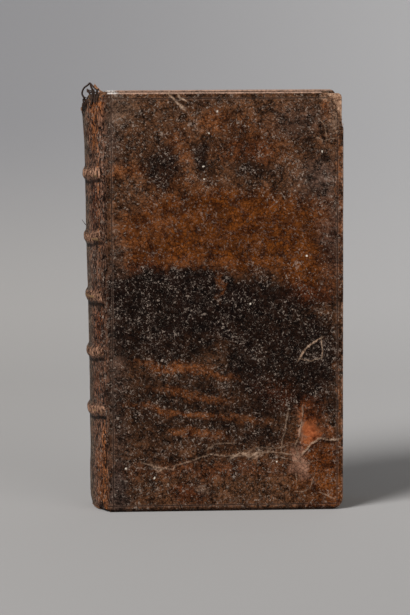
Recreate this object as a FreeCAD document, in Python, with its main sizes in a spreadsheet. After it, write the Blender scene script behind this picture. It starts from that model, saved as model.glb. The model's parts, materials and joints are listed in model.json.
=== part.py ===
import FreeCAD, Part
import os
import Sketcher

# An antique leather-bound book, standing upright with its front cover towards -Y.
# X runs from the spine (-X) to the fore-edge (+X), Z runs from the tail (0) to the head.

document = FreeCAD.newDocument("AntiqueLeatherBook")
sheet = document.addObject("Spreadsheet::Sheet", "Sizes")

# Driving dimensions in millimetres
driving_sizes = {
    # Covers
    "cover_height": 170.0,  # a leather-covered board, tail to head
    "cover_width": 96.0,  # joint line to fore-edge
    "board_thickness": 2.4,
    "leather_thickness": 0.8,
    "turn_in_thickness": 0.4,  # pared leather, glued down on the board's inner face
    "turn_in_width": 12.0,
    "pastedown_thickness": 0.2,
    "pastedown_margin": 5.0,  # leather left showing round the pastedown
    "joint_gap": 0.3,  # spine leather to cover leather, where the joint bends
    "board_setback": 0.35,  # joint line to the board's spine edge
    "head_corner_round": 1.6,
    "foot_corner_round": 4.0,  # the bumped corner at the foot of the fore-edge
    "edge_round": 0.7,  # rubbed outer edges of the leather
    "ruled_line_inset": 2.2,  # blind line pressed into the leather near its edges
    "ruled_line_width": 0.5,
    "ruled_line_depth": 0.15,
    # Leaves
    "block_thickness": 26.0,
    "head_square": 3.0,  # cover beyond the leaves at head and tail
    "fore_square": 3.4,  # cover beyond the leaves at the fore-edge
    "flyleaf_thickness": 0.3,
    "flyleaf_setback": 0.5,  # joint line to the flyleaf's spine edge
    "cover_clearance": 0.3,  # flyleaf to pastedown
    "shoulder_setback": 0.1,  # joint line to the shoulder of the leaves
    "shoulder_relief": 0.5,  # shoulder below the board's outer face
    # Spine
    "spine_rise": 7.2,  # crown of a spine panel past the joint line
    "spine_land": 0.8,  # joint line to where the spine's curve meets the cover's face
    "spine_lean": 2.1,  # sideways lean of the spine over the cover's height
    "spine_trim": 0.05,  # spine leather inside the cover's face, for the opening cover
    "lining_thickness": 0.5,
    "lining_setback": 2.1,  # end of a lining to the middle of the next cord
    "lining_relief": 1.0,  # side of a lining to the shoulder
    "cord_diameter": 2.2,
    "cord_clearance": 0.05,
    "band_height": 5.0,
    "band_rise": 1.5,  # crown of a raised band over the panels
    "channel_height": 3.4,  # hollow of the leather over a cord
    "head_panel": 32.9,  # head of the cover to the first band
    "second_panel": 25.7,
    "third_panel": 23.7,
    "fourth_panel": 22.9,
    "fifth_panel": 23.7,
    "foot_clearance": 0.3,  # spine leather above the surface that the covers stand on
    "tail_cap_reach": 3.0,  # turned-in leather under the tail endband
    "tail_cap_round": 1.0,
    # Endbands
    "endband_core": 1.1,
    "endband_winding": 0.3,
    "endband_inset": 1.2,  # middle of the endband inside the back of the leaves
    "endband_seat": 0.1,
    # Cord ends laced into the boards
    "slip_width": 3.0,
    "slip_depth": 1.0,
    "slip_run": 9.0,  # board's spine edge to the lacing hole
    "slip_hole": 2.2,
    "slip_tail": 6.0,  # frayed end past the hole, on the inner face
    "slip_tail_depth": 0.7,
    # Damage
    "tear_depth": 7.4,  # leather lost from the head of the spine
    "worn_corner_width": 6.5,  # leather lost from the front cover's head corner
    "worn_corner_height": 9.0,
    "scar_width": 9.5,  # torn grain near the front cover's foot
    "scar_height": 19.0,
    "scar_depth": 0.3,
    "scar_from_edge": 8.0,
    "scar_from_foot": 24.5,
}

# Shape of the torn head: share of the half thickness across, share of the tear's depth
tear_outline = [
    (-1.15, 0.35), (-0.86, 0.50), (-0.72, 0.42), (-0.58, 0.86), (-0.40, 0.74), (-0.22, 1.04),
    (-0.04, 0.93), (0.14, 1.10), (0.33, 0.88), (0.50, 1.0), (0.66, 0.64), (0.84, 0.72), (1.15, 0.30),
]

# Ragged edge of the lost corner, from the head down to the fore-edge: shares of width and height
corner_outline = [(1.0, 0.0), (0.86, 0.22), (0.58, 0.30), (0.44, 0.58), (0.24, 0.70), (0.12, 0.94), (0.0, 1.0)]

# Outline of the torn grain: shares of its width from the fore-edge side, and of its height
scar_outline = [
    (0.05, 0.62), (0.22, 0.96), (0.50, 1.0), (0.66, 0.80), (0.76, 0.56), (1.0, 0.06), (0.92, 0.0),
    (0.62, 0.24), (0.40, 0.34), (0.10, 0.44),
]

for row, (name, size) in enumerate(driving_sizes.items(), start=1):
    sheet.set(f"A{row}", name)
    sheet.set(f"B{row}", str(size))
    sheet.setAlias(f"B{row}", name)
document.recompute()

front = -1  # side of the book that a cover is on
rear = 1
side_names = {front: "front", rear: "rear"}


def cell(name):
    return f"Sizes.{name}"


def total(*terms):
    return "(" + " + ".join(terms) + ")"


def less(first, *others):
    return "(" + " - ".join((first,) + others) + ")"


def half(term):
    return f"({term} / 2)"


def value(expression):
    return FreeCAD.Units.Quantity(sheet.evalExpression(expression)).Value


# Distances from the middle of the book's thickness out to each layer of a cover
block_face = half(cell("block_thickness"))
flyleaf_face = total(block_face, cell("flyleaf_thickness"))
pastedown_face = total(flyleaf_face, cell("cover_clearance"))
turn_in_face = total(pastedown_face, cell("pastedown_thickness"))
board_inner = total(turn_in_face, cell("turn_in_thickness"))
board_outer = total(board_inner, cell("board_thickness"))
cover_face = total(board_outer, cell("leather_thickness"))
shoulder_face = less(board_outer, cell("shoulder_relief"))

# The curve of the spine, an arc that meets the cover's face at the land beside the joint
spine_sagitta = less(cell("spine_rise"), cell("spine_land"))
leather_outer = f"(({cover_face} ^ 2 + {spine_sagitta} ^ 2) / (2 * {spine_sagitta}))"
leather_inner = less(leather_outer, cell("leather_thickness"))
block_back = less(leather_inner, cell("lining_thickness"))
curve_centre = less(leather_outer, cell("spine_rise"))
cord_line = total(block_back, half(cell("cord_diameter")))
cord_end = less(board_outer, half(cell("cord_diameter")))  # reach of a cord to each side

# Heights of the cords and of the leaves
band_panels = ["head_panel", "second_panel", "third_panel", "fourth_panel", "fifth_panel"]
band_levels = []
for panel_count in range(1, len(band_panels) + 1):
    panels_above = [cell(name) for name in band_panels[:panel_count]]
    band_levels.append(less(cell("cover_height"), *panels_above))
block_head = less(cell("cover_height"), cell("head_square"))
block_tail = cell("head_square")
middle_level = half(cell("cover_height"))

# The spine leans about the middle of its height, and the joint line stays upright
lean = f"atan({cell('spine_lean')} / {cell('cover_height')})"
spine_reach = (
    f"(({cell('spine_rise')} + {cell('band_rise')}) * cos({lean})"
    f" + ({band_levels[0]} - {middle_level}) * sin({lean}))"
)
joint_line = half(less(spine_reach, cell("cover_width")))
fore_edge_of_leaves = less(cell("cover_width"), cell("fore_square"))


def origin_plane(body, role):
    return [feature for feature in body.Origin.OriginFeatures if feature.Role == role][0]


def new_sketch(body, name, role, offset="0"):
    sketch = body.newObject("Sketcher::SketchObject", name)
    sketch.AttachmentSupport = (origin_plane(body, role), [""])
    sketch.MapMode = "FlatFace"
    sketch.setExpression("AttachmentOffset.Base.z", offset)
    return sketch


def fix_point(sketch, geometry, point, across, up):
    for kind, expression in (("DistanceX", across), ("DistanceY", up)):
        index = sketch.addConstraint(Sketcher.Constraint(kind, -1, 1, geometry, point, value(expression)))
        sketch.setExpression(f"Constraints[{index}]", expression)


def join_ends(sketch, count):
    for index in range(count):
        sketch.addConstraint(Sketcher.Constraint("Coincident", index, 2, (index + 1) % count, 1))


def polygon_sketch(body, name, role, corners, offset="0"):
    """A closed outline of straight lines, each corner bound to the sheet."""
    sketch = new_sketch(body, name, role, offset)
    places = [FreeCAD.Vector(value(across), value(up), 0) for across, up in corners]
    followers = places[1:] + places[:1]
    sketch.addGeometry([Part.LineSegment(*ends) for ends in zip(places, followers)], False)
    join_ends(sketch, len(corners))
    for index, (across, up) in enumerate(corners):
        fix_point(sketch, index, 1, across, up)
    return sketch


def rectangle(left, right, low, high):
    return [(left, low), (right, low), (right, high), (left, high)]


def upright_body(name):
    """A body whose X starts from the joint line."""
    body = document.addObject("PartDesign::Body", name)
    body.Label = name
    body.setExpression("Placement.Base.x", joint_line)
    return body


def lean_with_spine(piece):
    """Places a piece made about the spine curve's own axis, leaning as the spine leans."""
    piece.Placement.Rotation = FreeCAD.Rotation(FreeCAD.Vector(0, -1, 0), 1)
    piece.setExpression("Placement.Rotation.Angle", lean)
    across = f"{joint_line} + {curve_centre} * cos({lean}) + {middle_level} * sin({lean})"
    up = f"{middle_level} * (1 - cos({lean})) + {curve_centre} * sin({lean})"
    piece.setExpression("Placement.Base.x", across)
    piece.setExpression("Placement.Base.z", up)


def spine_body(name):
    body = document.addObject("PartDesign::Body", name)
    body.Label = name
    lean_with_spine(body)
    return body


def pad(body, name, sketch, length, towards_rear=False):
    feature = body.newObject("PartDesign::Pad", name)
    feature.Profile = sketch
    feature.setExpression("Length", length)
    feature.Reversed = towards_rear
    return feature


def pad_layer(body, name, side, corners, near, far):
    """A flat layer of a cover, from one distance off the middle plane out to another."""
    sketch = polygon_sketch(body, name + "_outline", "XZ_Plane", corners, f"{-side} * {near}")
    return pad(body, name, sketch, less(far, near), side == rear)


def pocket_layer(body, name, side, sketch, near, far):
    """Cuts an outline out of a cover, from its sketch's distance out to a further one."""
    sketch.setExpression("AttachmentOffset.Base.z", f"{-side} * {near}")
    feature = body.newObject("PartDesign::Pocket", name)
    feature.Profile = sketch
    feature.setExpression("Length", less(far, near))
    feature.Reversed = side == front
    return feature


def round_edges(body, base, name, chosen, radius):
    """Rounds the edges of the body's last feature that the test picks."""
    document.recompute()
    edges = [f"Edge{number}" for number, edge in enumerate(base.Shape.Edges, start=1) if chosen(edge)]
    feature = body.newObject("PartDesign::Fillet", name)
    feature.Base = (base, edges)
    feature.setExpression("Radius", radius)
    return feature


def round_fore_corners(body, base, head_radius, foot_radius):
    """Rounds a cover layer's two corners at the fore-edge."""
    document.recompute()
    box = base.Shape.BoundBox
    tolerance = 0.01

    def corner_edge(level):
        def chosen(edge):
            place = edge.CenterOfMass
            along = abs(edge.tangentAt(edge.FirstParameter).y) > 0.99
            at_fore_edge = abs(place.x - box.XMax) < tolerance
            return along and at_fore_edge and abs(place.z - level) < tolerance
        return chosen

    head = round_edges(body, base, "head_corner", corner_edge(box.ZMax), head_radius)
    return round_edges(body, head, "foot_corner", corner_edge(box.ZMin), foot_radius)


def revolve(body, name, sketch, half_angle):
    feature = body.newObject("PartDesign::Revolution", name)
    feature.Profile = sketch
    feature.ReferenceAxis = (sketch, ["V_Axis"])
    feature.Midplane = True
    feature.setExpression("Angle", f"2 * {half_angle}")
    return feature


def spine_strip(name, inner, outer, low, high, half_angle):
    """A curved strip on the spine, between two radii and two heights."""
    body = spine_body(name)
    corners = rectangle(f"-{outer}", f"-{inner}", low, high)
    sketch = polygon_sketch(body, name + "_section", "XZ_Plane", corners)
    revolve(body, name + "_curve", sketch, half_angle)
    return body


def make_text_block():
    """The sewn leaves as one solid: rounded back, two shoulders and a hollow fore-edge."""
    far = f"(3 * {cell('cover_width')})"
    back = spine_body("text_block_back")
    sketch = new_sketch(back, "back_curve", "XY_Plane", f"-{cell('head_square')}")
    radius = value(block_back)
    shoulder = value(shoulder_face)
    depth = (radius ** 2 - shoulder ** 2) ** 0.5
    start = FreeCAD.Vector(-depth, shoulder, 0)
    end = FreeCAD.Vector(-depth, -shoulder, 0)
    reach = FreeCAD.Vector(value(far), 0, 0)
    arc = Part.Arc(start, FreeCAD.Vector(-radius, 0, 0), end)
    corner_low = FreeCAD.Vector(reach.x, -shoulder, 0)
    corner_high = FreeCAD.Vector(reach.x, shoulder, 0)
    lines = [Part.LineSegment(end, corner_low), Part.LineSegment(corner_low, corner_high),
             Part.LineSegment(corner_high, start)]
    sketch.addGeometry([arc] + lines, False)
    join_ends(sketch, 4)
    depth_expression = f"sqrt({block_back} ^ 2 - {shoulder_face} ^ 2)"
    fix_point(sketch, 0, 1, f"-{depth_expression}", shoulder_face)
    fix_point(sketch, 0, 2, f"-{depth_expression}", f"-{shoulder_face}")
    fix_point(sketch, 2, 1, far, f"-{shoulder_face}")
    fix_point(sketch, 3, 1, far, shoulder_face)
    index = sketch.addConstraint(Sketcher.Constraint("Radius", 0, radius))
    sketch.setExpression(f"Constraints[{index}]", block_back)
    pad(back, "back_pad", sketch, total(cell("cover_height"), f"2 * {cell('head_square')}"))

    front_part = upright_body("text_block_sides")
    sketch = new_sketch(front_part, "sides_outline", "XY_Plane", block_tail)
    shoulder_at = f"-{cell('shoulder_setback')}"
    outline = [
        (fore_edge_of_leaves, f"-{block_face}"), (fore_edge_of_leaves, block_face),
        (shoulder_at, block_face), (shoulder_at, shoulder_face), (f"-{far}", shoulder_face),
        (f"-{far}", f"-{shoulder_face}"), (shoulder_at, f"-{shoulder_face}"), (shoulder_at, f"-{block_face}"),
    ]
    places = [FreeCAD.Vector(value(across), value(up), 0) for across, up in outline]
    # The leaves are equally wide, so the fore-edge is hollow by the same curve as the back
    hollow = radius - (radius ** 2 - value(block_face) ** 2) ** 0.5
    fore_arc = Part.Arc(places[1], FreeCAD.Vector(places[0].x - hollow, 0, 0), places[0])
    sides = [Part.LineSegment(*ends) for ends in zip(places[1:], places[2:] + places[:1])]
    sketch.addGeometry([fore_arc] + sides, False)
    last = len(outline) - 1
    sketch.addConstraint(Sketcher.Constraint("Coincident", 0, 1, 1, 1))
    sketch.addConstraint(Sketcher.Constraint("Coincident", last, 2, 0, 2))
    for index in range(1, last):
        sketch.addConstraint(Sketcher.Constraint("Coincident", index, 2, index + 1, 1))
    for number, (across, up) in enumerate(outline[1:], start=1):
        fix_point(sketch, number, 1, across, up)
    fix_point(sketch, last, 2, *outline[0])
    index = sketch.addConstraint(Sketcher.Constraint("Radius", 0, radius))
    sketch.setExpression(f"Constraints[{index}]", block_back)
    pad(front_part, "sides_pad", sketch, less(block_head, block_tail))

    block = document.addObject("Part::MultiCommon", "text_block")
    block.Label = "text_block"
    block.Shapes = [front_part, back]
    return block


def make_flyleaf(side):
    name = side_names[side] + "_flyleaf"
    leaf = upright_body(name)
    corners = rectangle(cell("flyleaf_setback"), fore_edge_of_leaves, block_tail, block_head)
    pad_layer(leaf, name + "_sheet", side, corners, block_face, flyleaf_face)
    return leaf


def board_corners(left):
    edge = cell("leather_thickness")
    return rectangle(left, less(cell("cover_width"), edge), edge, less(cell("cover_height"), edge))


def slip_corners(side):
    """Plan of a cord end: along the board's outer face, through it, and back on its inner face."""
    start = cell("board_setback")
    hole = total(start, cell("slip_run"))
    hole_end = total(hole, cell("slip_hole"))
    tail_end = total(hole_end, cell("slip_tail"))
    channel = less(board_outer, cell("slip_depth"))
    recess = total(board_inner, cell("slip_tail_depth"))
    outline = [
        (start, board_outer), (hole_end, board_outer), (hole_end, recess), (tail_end, recess),
        (tail_end, board_inner), (hole, board_inner), (hole, channel), (start, channel),
    ]
    return [(across, f"{side} * {out}") for across, out in outline]


def make_slip(side, number, level):
    name = f"{side_names[side]}_cord_end_{number}"
    slip = upright_body(name)
    foot = less(level, half(cell("slip_width")))
    sketch = polygon_sketch(slip, name + "_plan", "XY_Plane", slip_corners(side), foot)
    pad(slip, name + "_pad", sketch, cell("slip_width"))
    return slip


def make_board(side, slips):
    """The pasteboard, with a channel and a hole for each cord end."""
    prefix = side_names[side]
    blank = upright_body(prefix + "_board_blank")
    sheet_pad = pad_layer(blank, prefix + "_board_sheet", side, board_corners(cell("board_setback")),
                          board_inner, board_outer)
    round_fore_corners(blank, sheet_pad, cell("head_corner_round"), cell("foot_corner_round"))
    cords = document.addObject("Part::MultiFuse", prefix + "_lacing")
    cords.Shapes = slips
    board = document.addObject("Part::Cut", prefix + "_board")
    board.Label = prefix + "_board"
    board.Base = blank
    board.Tool = cords
    return board


def make_pastedown(side):
    """The paper on the inside of a cover: it fills the turn-ins' window and laps over them."""
    name = side_names[side] + "_pastedown"
    paper = upright_body(name)
    frame = total(cell("leather_thickness"), cell("turn_in_width"))
    margin = cell("pastedown_margin")
    window = rectangle(cell("board_setback"), less(cell("cover_width"), frame), frame,
                       less(cell("cover_height"), frame))
    lap = rectangle(cell("board_setback"), less(cell("cover_width"), margin), margin,
                    less(cell("cover_height"), margin))
    pad_layer(paper, name + "_lap", side, lap, pastedown_face, turn_in_face)
    pad_layer(paper, name + "_window", side, window, turn_in_face, board_inner)
    return paper


def cover_edge_test(side):
    """Picks the outer edges of a cover's face, apart from the one along the joint."""
    level = side * value(cover_face)
    joint = value(half(cell("joint_gap")))
    tolerance = 0.01

    def chosen(edge):
        box = edge.BoundBox
        on_face = abs(box.YMin - level) < tolerance and abs(box.YMax - level) < tolerance
        return on_face and box.XMax > joint + value(joint_line) + tolerance
    return chosen


def ruled_line_sketch(body, name):
    """The blind line: two nested outlines near the edges, between which the leather is pressed in."""
    sketch = new_sketch(body, name, "XZ_Plane")
    for number, inset in enumerate((cell("ruled_line_inset"),
                                    total(cell("ruled_line_inset"), cell("ruled_line_width")))):
        corners = rectangle(inset, less(cell("cover_width"), inset), inset, less(cell("cover_height"), inset))
        places = [FreeCAD.Vector(value(across), value(up), 0) for across, up in corners]
        followers = places[1:] + places[:1]
        sketch.addGeometry([Part.LineSegment(*ends) for ends in zip(places, followers)], False)
        first = number * len(corners)
        for index, (across, up) in enumerate(corners):
            after = first + (index + 1) % len(corners)
            sketch.addConstraint(Sketcher.Constraint("Coincident", first + index, 2, after, 1))
            fix_point(sketch, first + index, 1, across, up)
    return sketch


def worn_corner_corners():
    """The lost corner in the cover's plane, closed well outside the cover."""
    beyond = cell("edge_round")
    corners = []
    for across, down in corner_outline:
        place = less(cell("cover_width"), f"{across} * {cell('worn_corner_width')}")
        corners.append((place, less(cell("cover_height"), f"{down} * {cell('worn_corner_height')}")))
    outside = total(cell("cover_width"), beyond)
    above = total(cell("cover_height"), beyond)
    return [(corners[0][0], above)] + corners + [(outside, corners[-1][1]), (outside, above)]


def scar_corners():
    corners = []
    for across, up in scar_outline:
        place = less(cell("cover_width"), cell("scar_from_edge"), f"{across} * {cell('scar_width')}")
        corners.append((place, total(cell("scar_from_foot"), f"{up} * {cell('scar_height')}")))
    return corners


def make_cover_leather(side, damaged):
    """The skin of one cover: its outer face, the edges that it wraps and the turn-ins inside."""
    name = side_names[side] + "_cover_leather"
    skin = upright_body(name)
    start = half(cell("joint_gap"))
    beyond = "-" + cell("turn_in_width")
    outer = rectangle(start, cell("cover_width"), "0", cell("cover_height"))
    sheet_pad = pad_layer(skin, name + "_sheet", side, outer, turn_in_face, cover_face)
    wrapped_head = total(cell("head_corner_round"), cell("leather_thickness"))
    wrapped_foot = total(cell("foot_corner_round"), cell("leather_thickness"))
    cornered = round_fore_corners(skin, sheet_pad, wrapped_head, wrapped_foot)
    round_edges(skin, cornered, "rubbed_edges", cover_edge_test(side), cell("edge_round"))

    frame = total(cell("leather_thickness"), cell("turn_in_width"))
    window = rectangle(beyond, less(cell("cover_width"), frame), frame, less(cell("cover_height"), frame))
    window_sketch = polygon_sketch(skin, name + "_window_outline", "XZ_Plane", window)
    pocket_layer(skin, name + "_window", side, window_sketch, turn_in_face, board_inner)
    board_sketch = polygon_sketch(skin, name + "_board_outline", "XZ_Plane", board_corners(beyond))
    pocket_layer(skin, name + "_board_space", side, board_sketch, board_inner, board_outer)

    line_depth = less(cover_face, cell("ruled_line_depth"))
    line_sketch = ruled_line_sketch(skin, name + "_ruled_line")
    pocket_layer(skin, name + "_line", side, line_sketch, line_depth, cover_face)
    if damaged:
        corner_sketch = polygon_sketch(skin, "worn_corner_outline", "XZ_Plane", worn_corner_corners())
        pocket_layer(skin, "worn_corner", side, corner_sketch, turn_in_face, cover_face)
        scar_sketch = polygon_sketch(skin, "scar_outline", "XZ_Plane", scar_corners())
        pocket_layer(skin, "scar", side, scar_sketch, less(cover_face, cell("scar_depth")), cover_face)
    return skin


def make_sewing_cord(number, level):
    """A raised cord, bent round the back of the leaves from one shoulder to the other."""
    name = f"sewing_cord_{number}"
    ring = document.addObject("Part::Circle", name + "_section")
    ring.setExpression("Radius", half(cell("cord_diameter")))
    ring.Placement.Rotation = FreeCAD.Rotation(FreeCAD.Vector(1, 0, 0), 90)
    ring.setExpression("Placement.Base.x", f"-{cord_line}")
    ring.setExpression("Placement.Base.z", level)
    cord = document.addObject("Part::Revolution", name)
    cord.Label = name
    cord.Source = ring
    cord.Axis = (0, 0, 1)
    cord.Solid = True
    cord.Symmetric = True
    cord.setExpression("Angle", f"2 * asin({cord_end} / {cord_line})")
    lean_with_spine(cord)
    return cord


def make_spine_linings():
    """Paper linings glued to the back between the cords."""
    half_angle = f"asin(({shoulder_face} - {cell('lining_relief')}) / {block_back})"
    tops = [block_head] + [less(level, cell("lining_setback")) for level in band_levels]
    feet = [total(level, cell("lining_setback")) for level in band_levels] + [block_tail]
    linings = []
    for number, (high, low) in enumerate(zip(tops, feet), start=1):
        name = f"spine_lining_{number}"
        linings.append(spine_strip(name, block_back, leather_inner, low, high, half_angle))
    return linings


def arc_section_sketch(body, name, chord_radius, chord_height, crown_rise, level):
    """A segment between a straight chord at one radius and an arc that rises past it."""
    sketch = new_sketch(body, name, "XZ_Plane")
    radius = value(chord_radius)
    rise = value(crown_rise)
    middle = value(level)
    reach = value(half(chord_height))
    low = FreeCAD.Vector(-radius, middle - reach, 0)
    high = FreeCAD.Vector(-radius, middle + reach, 0)
    arc = Part.Arc(high, FreeCAD.Vector(-radius - rise, middle, 0), low)
    sketch.addGeometry([arc, Part.LineSegment(low, high)], False)
    sketch.addConstraint(Sketcher.Constraint("Coincident", 0, 2, 1, 1))
    sketch.addConstraint(Sketcher.Constraint("Coincident", 0, 1, 1, 2))
    fix_point(sketch, 1, 1, f"-{chord_radius}", less(level, half(chord_height)))
    fix_point(sketch, 1, 2, f"-{chord_radius}", total(level, half(chord_height)))
    arc_radius = f"(({half(chord_height)} ^ 2 + {crown_rise} ^ 2) / (2 * {crown_rise}))"
    index = sketch.addConstraint(Sketcher.Constraint("Radius", 0, value(arc_radius)))
    sketch.setExpression(f"Constraints[{index}]", arc_radius)
    return sketch


def make_spine_leather():
    """The skin of the spine: panels, raised bands over the cords, a tail cap and a torn head."""
    skin = spine_body("spine_skin")
    half_angle = f"1.1 * asin({cover_face} / {leather_inner})"
    foot = cell("foot_clearance")
    head = cell("cover_height")
    panel = polygon_sketch(skin, "panel_section", "XZ_Plane",
                           rectangle(f"-{leather_outer}", f"-{leather_inner}", foot, head))
    revolve(skin, "panels", panel, half_angle)
    cap_inner = less(leather_inner, cell("tail_cap_reach"))
    cap_top = total(foot, cell("leather_thickness"))
    cap = polygon_sketch(skin, "cap_section", "XZ_Plane",
                         rectangle(f"-{leather_inner}", f"-{cap_inner}", foot, cap_top))
    cap_feature = revolve(skin, "tail_cap", cap, half_angle)
    for number, level in enumerate(band_levels, start=1):
        bump = arc_section_sketch(skin, f"band_{number}_section", leather_outer, cell("band_height"),
                                  cell("band_rise"), level)
        cap_feature = revolve(skin, f"band_{number}", bump, half_angle)
    channel_rise = less(total(cell("cord_diameter"), cell("cord_clearance")), cell("lining_thickness"))
    for number, level in enumerate(band_levels, start=1):
        hollow = arc_section_sketch(skin, f"channel_{number}_section", leather_inner,
                                    cell("channel_height"), channel_rise, level)
        groove = skin.newObject("PartDesign::Groove", f"channel_{number}")
        groove.Profile = hollow
        groove.ReferenceAxis = (hollow, ["V_Axis"])
        groove.Midplane = True
        groove.setExpression("Angle", f"2 * {half_angle}")
        cap_feature = groove

    foot_level = value(foot)
    outer_radius = value(leather_outer)
    tolerance = 0.01

    def chosen(edge):
        box = edge.BoundBox
        flat = abs(box.ZMin - foot_level) < tolerance and abs(box.ZMax - foot_level) < tolerance
        return flat and abs(box.XMin + outer_radius) < tolerance

    # The shape of a body's feature is in the body's own axes, so the levels compare directly
    round_edges(skin, cap_feature, "cap_edge", chosen, cell("tail_cap_round"))

    outline = []
    for across, down in tear_outline:
        outline.append((f"{across} * {cover_face}", less(head, f"{down} * {cell('tear_depth')}")))
    above = total(head, cell("tear_depth"))
    outline = [(outline[0][0], above)] + outline + [(outline[-1][0], above)]
    tear_sketch = polygon_sketch(skin, "torn_head_outline", "YZ_Plane", outline)
    tear = skin.newObject("PartDesign::Pocket", "torn_head")
    tear.Profile = tear_sketch
    tear.Type = "ThroughAll"

    trim = document.addObject("Part::Box", "joint_trim")
    trim_face = less(cover_face, cell("spine_trim"))
    reach = f"(2 * {cell('spine_rise')} + {cell('cover_height')} / 2)"
    trim.setExpression("Length", reach)
    trim.setExpression("Width", f"2 * {trim_face}")
    trim.setExpression("Height", f"2 * {cell('cover_height')}")
    trim.setExpression("Placement.Base.x", less(joint_line, half(cell("joint_gap")), reach))
    trim.setExpression("Placement.Base.y", f"-{trim_face}")
    trim.setExpression("Placement.Base.z", f"-{middle_level}")
    leather = document.addObject("Part::MultiCommon", "spine_leather")
    leather.Label = "spine_leather"
    leather.Shapes = [skin, trim]
    return leather


def make_endband(end_name, level):
    """A cord core along the edge of the back, and the silk wound round it."""
    band_line = less(block_back, cell("endband_inset"))
    outer = total(half(cell("endband_core")), cell("endband_winding"))
    half_angle = f"asin(({block_face} - {cell('endband_inset')}) / {band_line})"
    pieces = []
    for kind, radii in (("core", (half(cell("endband_core")),)), ("silk", (outer, half(cell("endband_core"))))):
        name = f"{end_name}_endband_{kind}"
        body = spine_body(name)
        sketch = new_sketch(body, name + "_section", "XZ_Plane")
        for index, radius in enumerate(radii):
            centre = FreeCAD.Vector(-value(band_line), value(level), 0)
            sketch.addGeometry(Part.Circle(centre, FreeCAD.Vector(0, 0, 1), value(radius)), False)
            fix_point(sketch, index, 3, f"-{band_line}", level)
            number = sketch.addConstraint(Sketcher.Constraint("Radius", index, value(radius)))
            sketch.setExpression(f"Constraints[{number}]", radius)
        revolve(body, name + "_curve", sketch, half_angle)
        pieces.append(body)
    return pieces


def make_endbands():
    reach = total(half(cell("endband_core")), cell("endband_winding"), cell("endband_seat"))
    return make_endband("head", total(block_head, reach)) + make_endband("tail", less(block_tail, reach))


def make_cover(side, damaged):
    slips = [make_slip(side, number, level) for number, level in enumerate(band_levels, start=1)]
    board = make_board(side, slips)
    return [board, make_cover_leather(side, damaged), make_pastedown(side)] + slips


def make_book():
    pieces = [make_text_block()]
    pieces += [make_flyleaf(front), make_flyleaf(rear)]
    pieces += [make_sewing_cord(number, level) for number, level in enumerate(band_levels, start=1)]
    pieces += make_spine_linings()
    pieces += make_endbands()
    pieces += [make_spine_leather()]
    pieces += make_cover(front, True)
    pieces += make_cover(rear, False)
    return pieces


def check_and_write(pieces):
    document.recompute()
    for item in document.Objects:
        if "Invalid" in item.State or "Error" in item.State:
            raise RuntimeError(f"{item.Name} failed: {item.State}")
    for piece in pieces:
        if piece.Shape.isNull() or not piece.Shape.isValid():
            raise RuntimeError(f"{piece.Label} has no valid shape")
    os.makedirs("parts", exist_ok=True)
    for piece in pieces:
        piece.Shape.exportStep(f"parts/{piece.Label}.step")
        print(piece.Label, len(piece.Shape.Solids), round(piece.Shape.Volume, 1))
    print("joint line at X", value(joint_line), "cover face at Y", value(cover_face))


check_and_write(make_book())
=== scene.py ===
import json
import math
import random

import bmesh
import bpy
from mathutils import Matrix, Vector, noise

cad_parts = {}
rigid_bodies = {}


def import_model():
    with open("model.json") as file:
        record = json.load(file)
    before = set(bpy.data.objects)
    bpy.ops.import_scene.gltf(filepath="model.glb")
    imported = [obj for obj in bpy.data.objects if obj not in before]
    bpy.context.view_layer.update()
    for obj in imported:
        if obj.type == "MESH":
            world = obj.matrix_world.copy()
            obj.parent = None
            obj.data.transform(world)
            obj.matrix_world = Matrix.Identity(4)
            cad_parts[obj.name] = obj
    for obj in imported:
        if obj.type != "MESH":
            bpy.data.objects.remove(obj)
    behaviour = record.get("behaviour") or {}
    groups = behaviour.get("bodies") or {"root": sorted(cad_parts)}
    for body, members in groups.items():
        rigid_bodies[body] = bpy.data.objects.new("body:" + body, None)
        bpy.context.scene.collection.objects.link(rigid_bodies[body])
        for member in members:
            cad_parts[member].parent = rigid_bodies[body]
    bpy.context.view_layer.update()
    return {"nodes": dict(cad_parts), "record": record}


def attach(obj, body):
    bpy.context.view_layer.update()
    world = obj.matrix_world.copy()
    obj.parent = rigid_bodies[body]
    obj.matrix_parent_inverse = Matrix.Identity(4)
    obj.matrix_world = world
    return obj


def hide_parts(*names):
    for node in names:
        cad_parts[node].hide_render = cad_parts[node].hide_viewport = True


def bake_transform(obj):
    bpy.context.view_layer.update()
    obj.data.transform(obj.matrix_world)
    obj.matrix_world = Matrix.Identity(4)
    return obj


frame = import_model()
print("frame loaded:", len(frame["nodes"]), "nodes")

mm = 0.001
spineBody = "leaves_and_spine"
frontBody = "front_cover"
front = -1    # side of the book, as the sign of Y
rear = 1

# Main sizes of the binding, in millimetres, the same as the solids have
book = {
    "jointX": -43.32856,
    "coverWidth": 96.0,
    "coverHeight": 170.0,
    "face": 17.4,          # a cover's outer face, from the middle of the leaves
    "land": 0.8,           # joint line to where the spine's curve starts
    "arcRadius": 26.85,
    "lean": 2.1 / 170.0,
    "bandLevels": (137.1, 111.4, 87.7, 64.8, 41.1),
    "headCorner": 2.4,
    "footCorner": 4.8,
    "square": 3.0,         # how far the covers reach past the leaves
}
halfArc = math.asin(book["face"] / book["arcRadius"])
arcCentre = book["jointX"] - book["land"] + book["arcRadius"] * math.cos(halfArc)
crownS = -book["land"] - book["arcRadius"] * halfArc    # the crown, measured along the skin from the joint


def rise(low, high, value):
    # smooth step from 0 at low to 1 at high
    share = min(1.0, max(0.0, (value - low) / (high - low)))
    return share * share * (3 - 2 * share)


def between(points, place):
    # height of a line through points, at a place
    if place <= points[0][0]:
        return points[0][1]
    for (x0, y0), (x1, y1) in zip(points, points[1:]):
        if place <= x1:
            return y0 + (y1 - y0) * (place - x0) / (x1 - x0)
    return points[-1][1]


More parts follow.
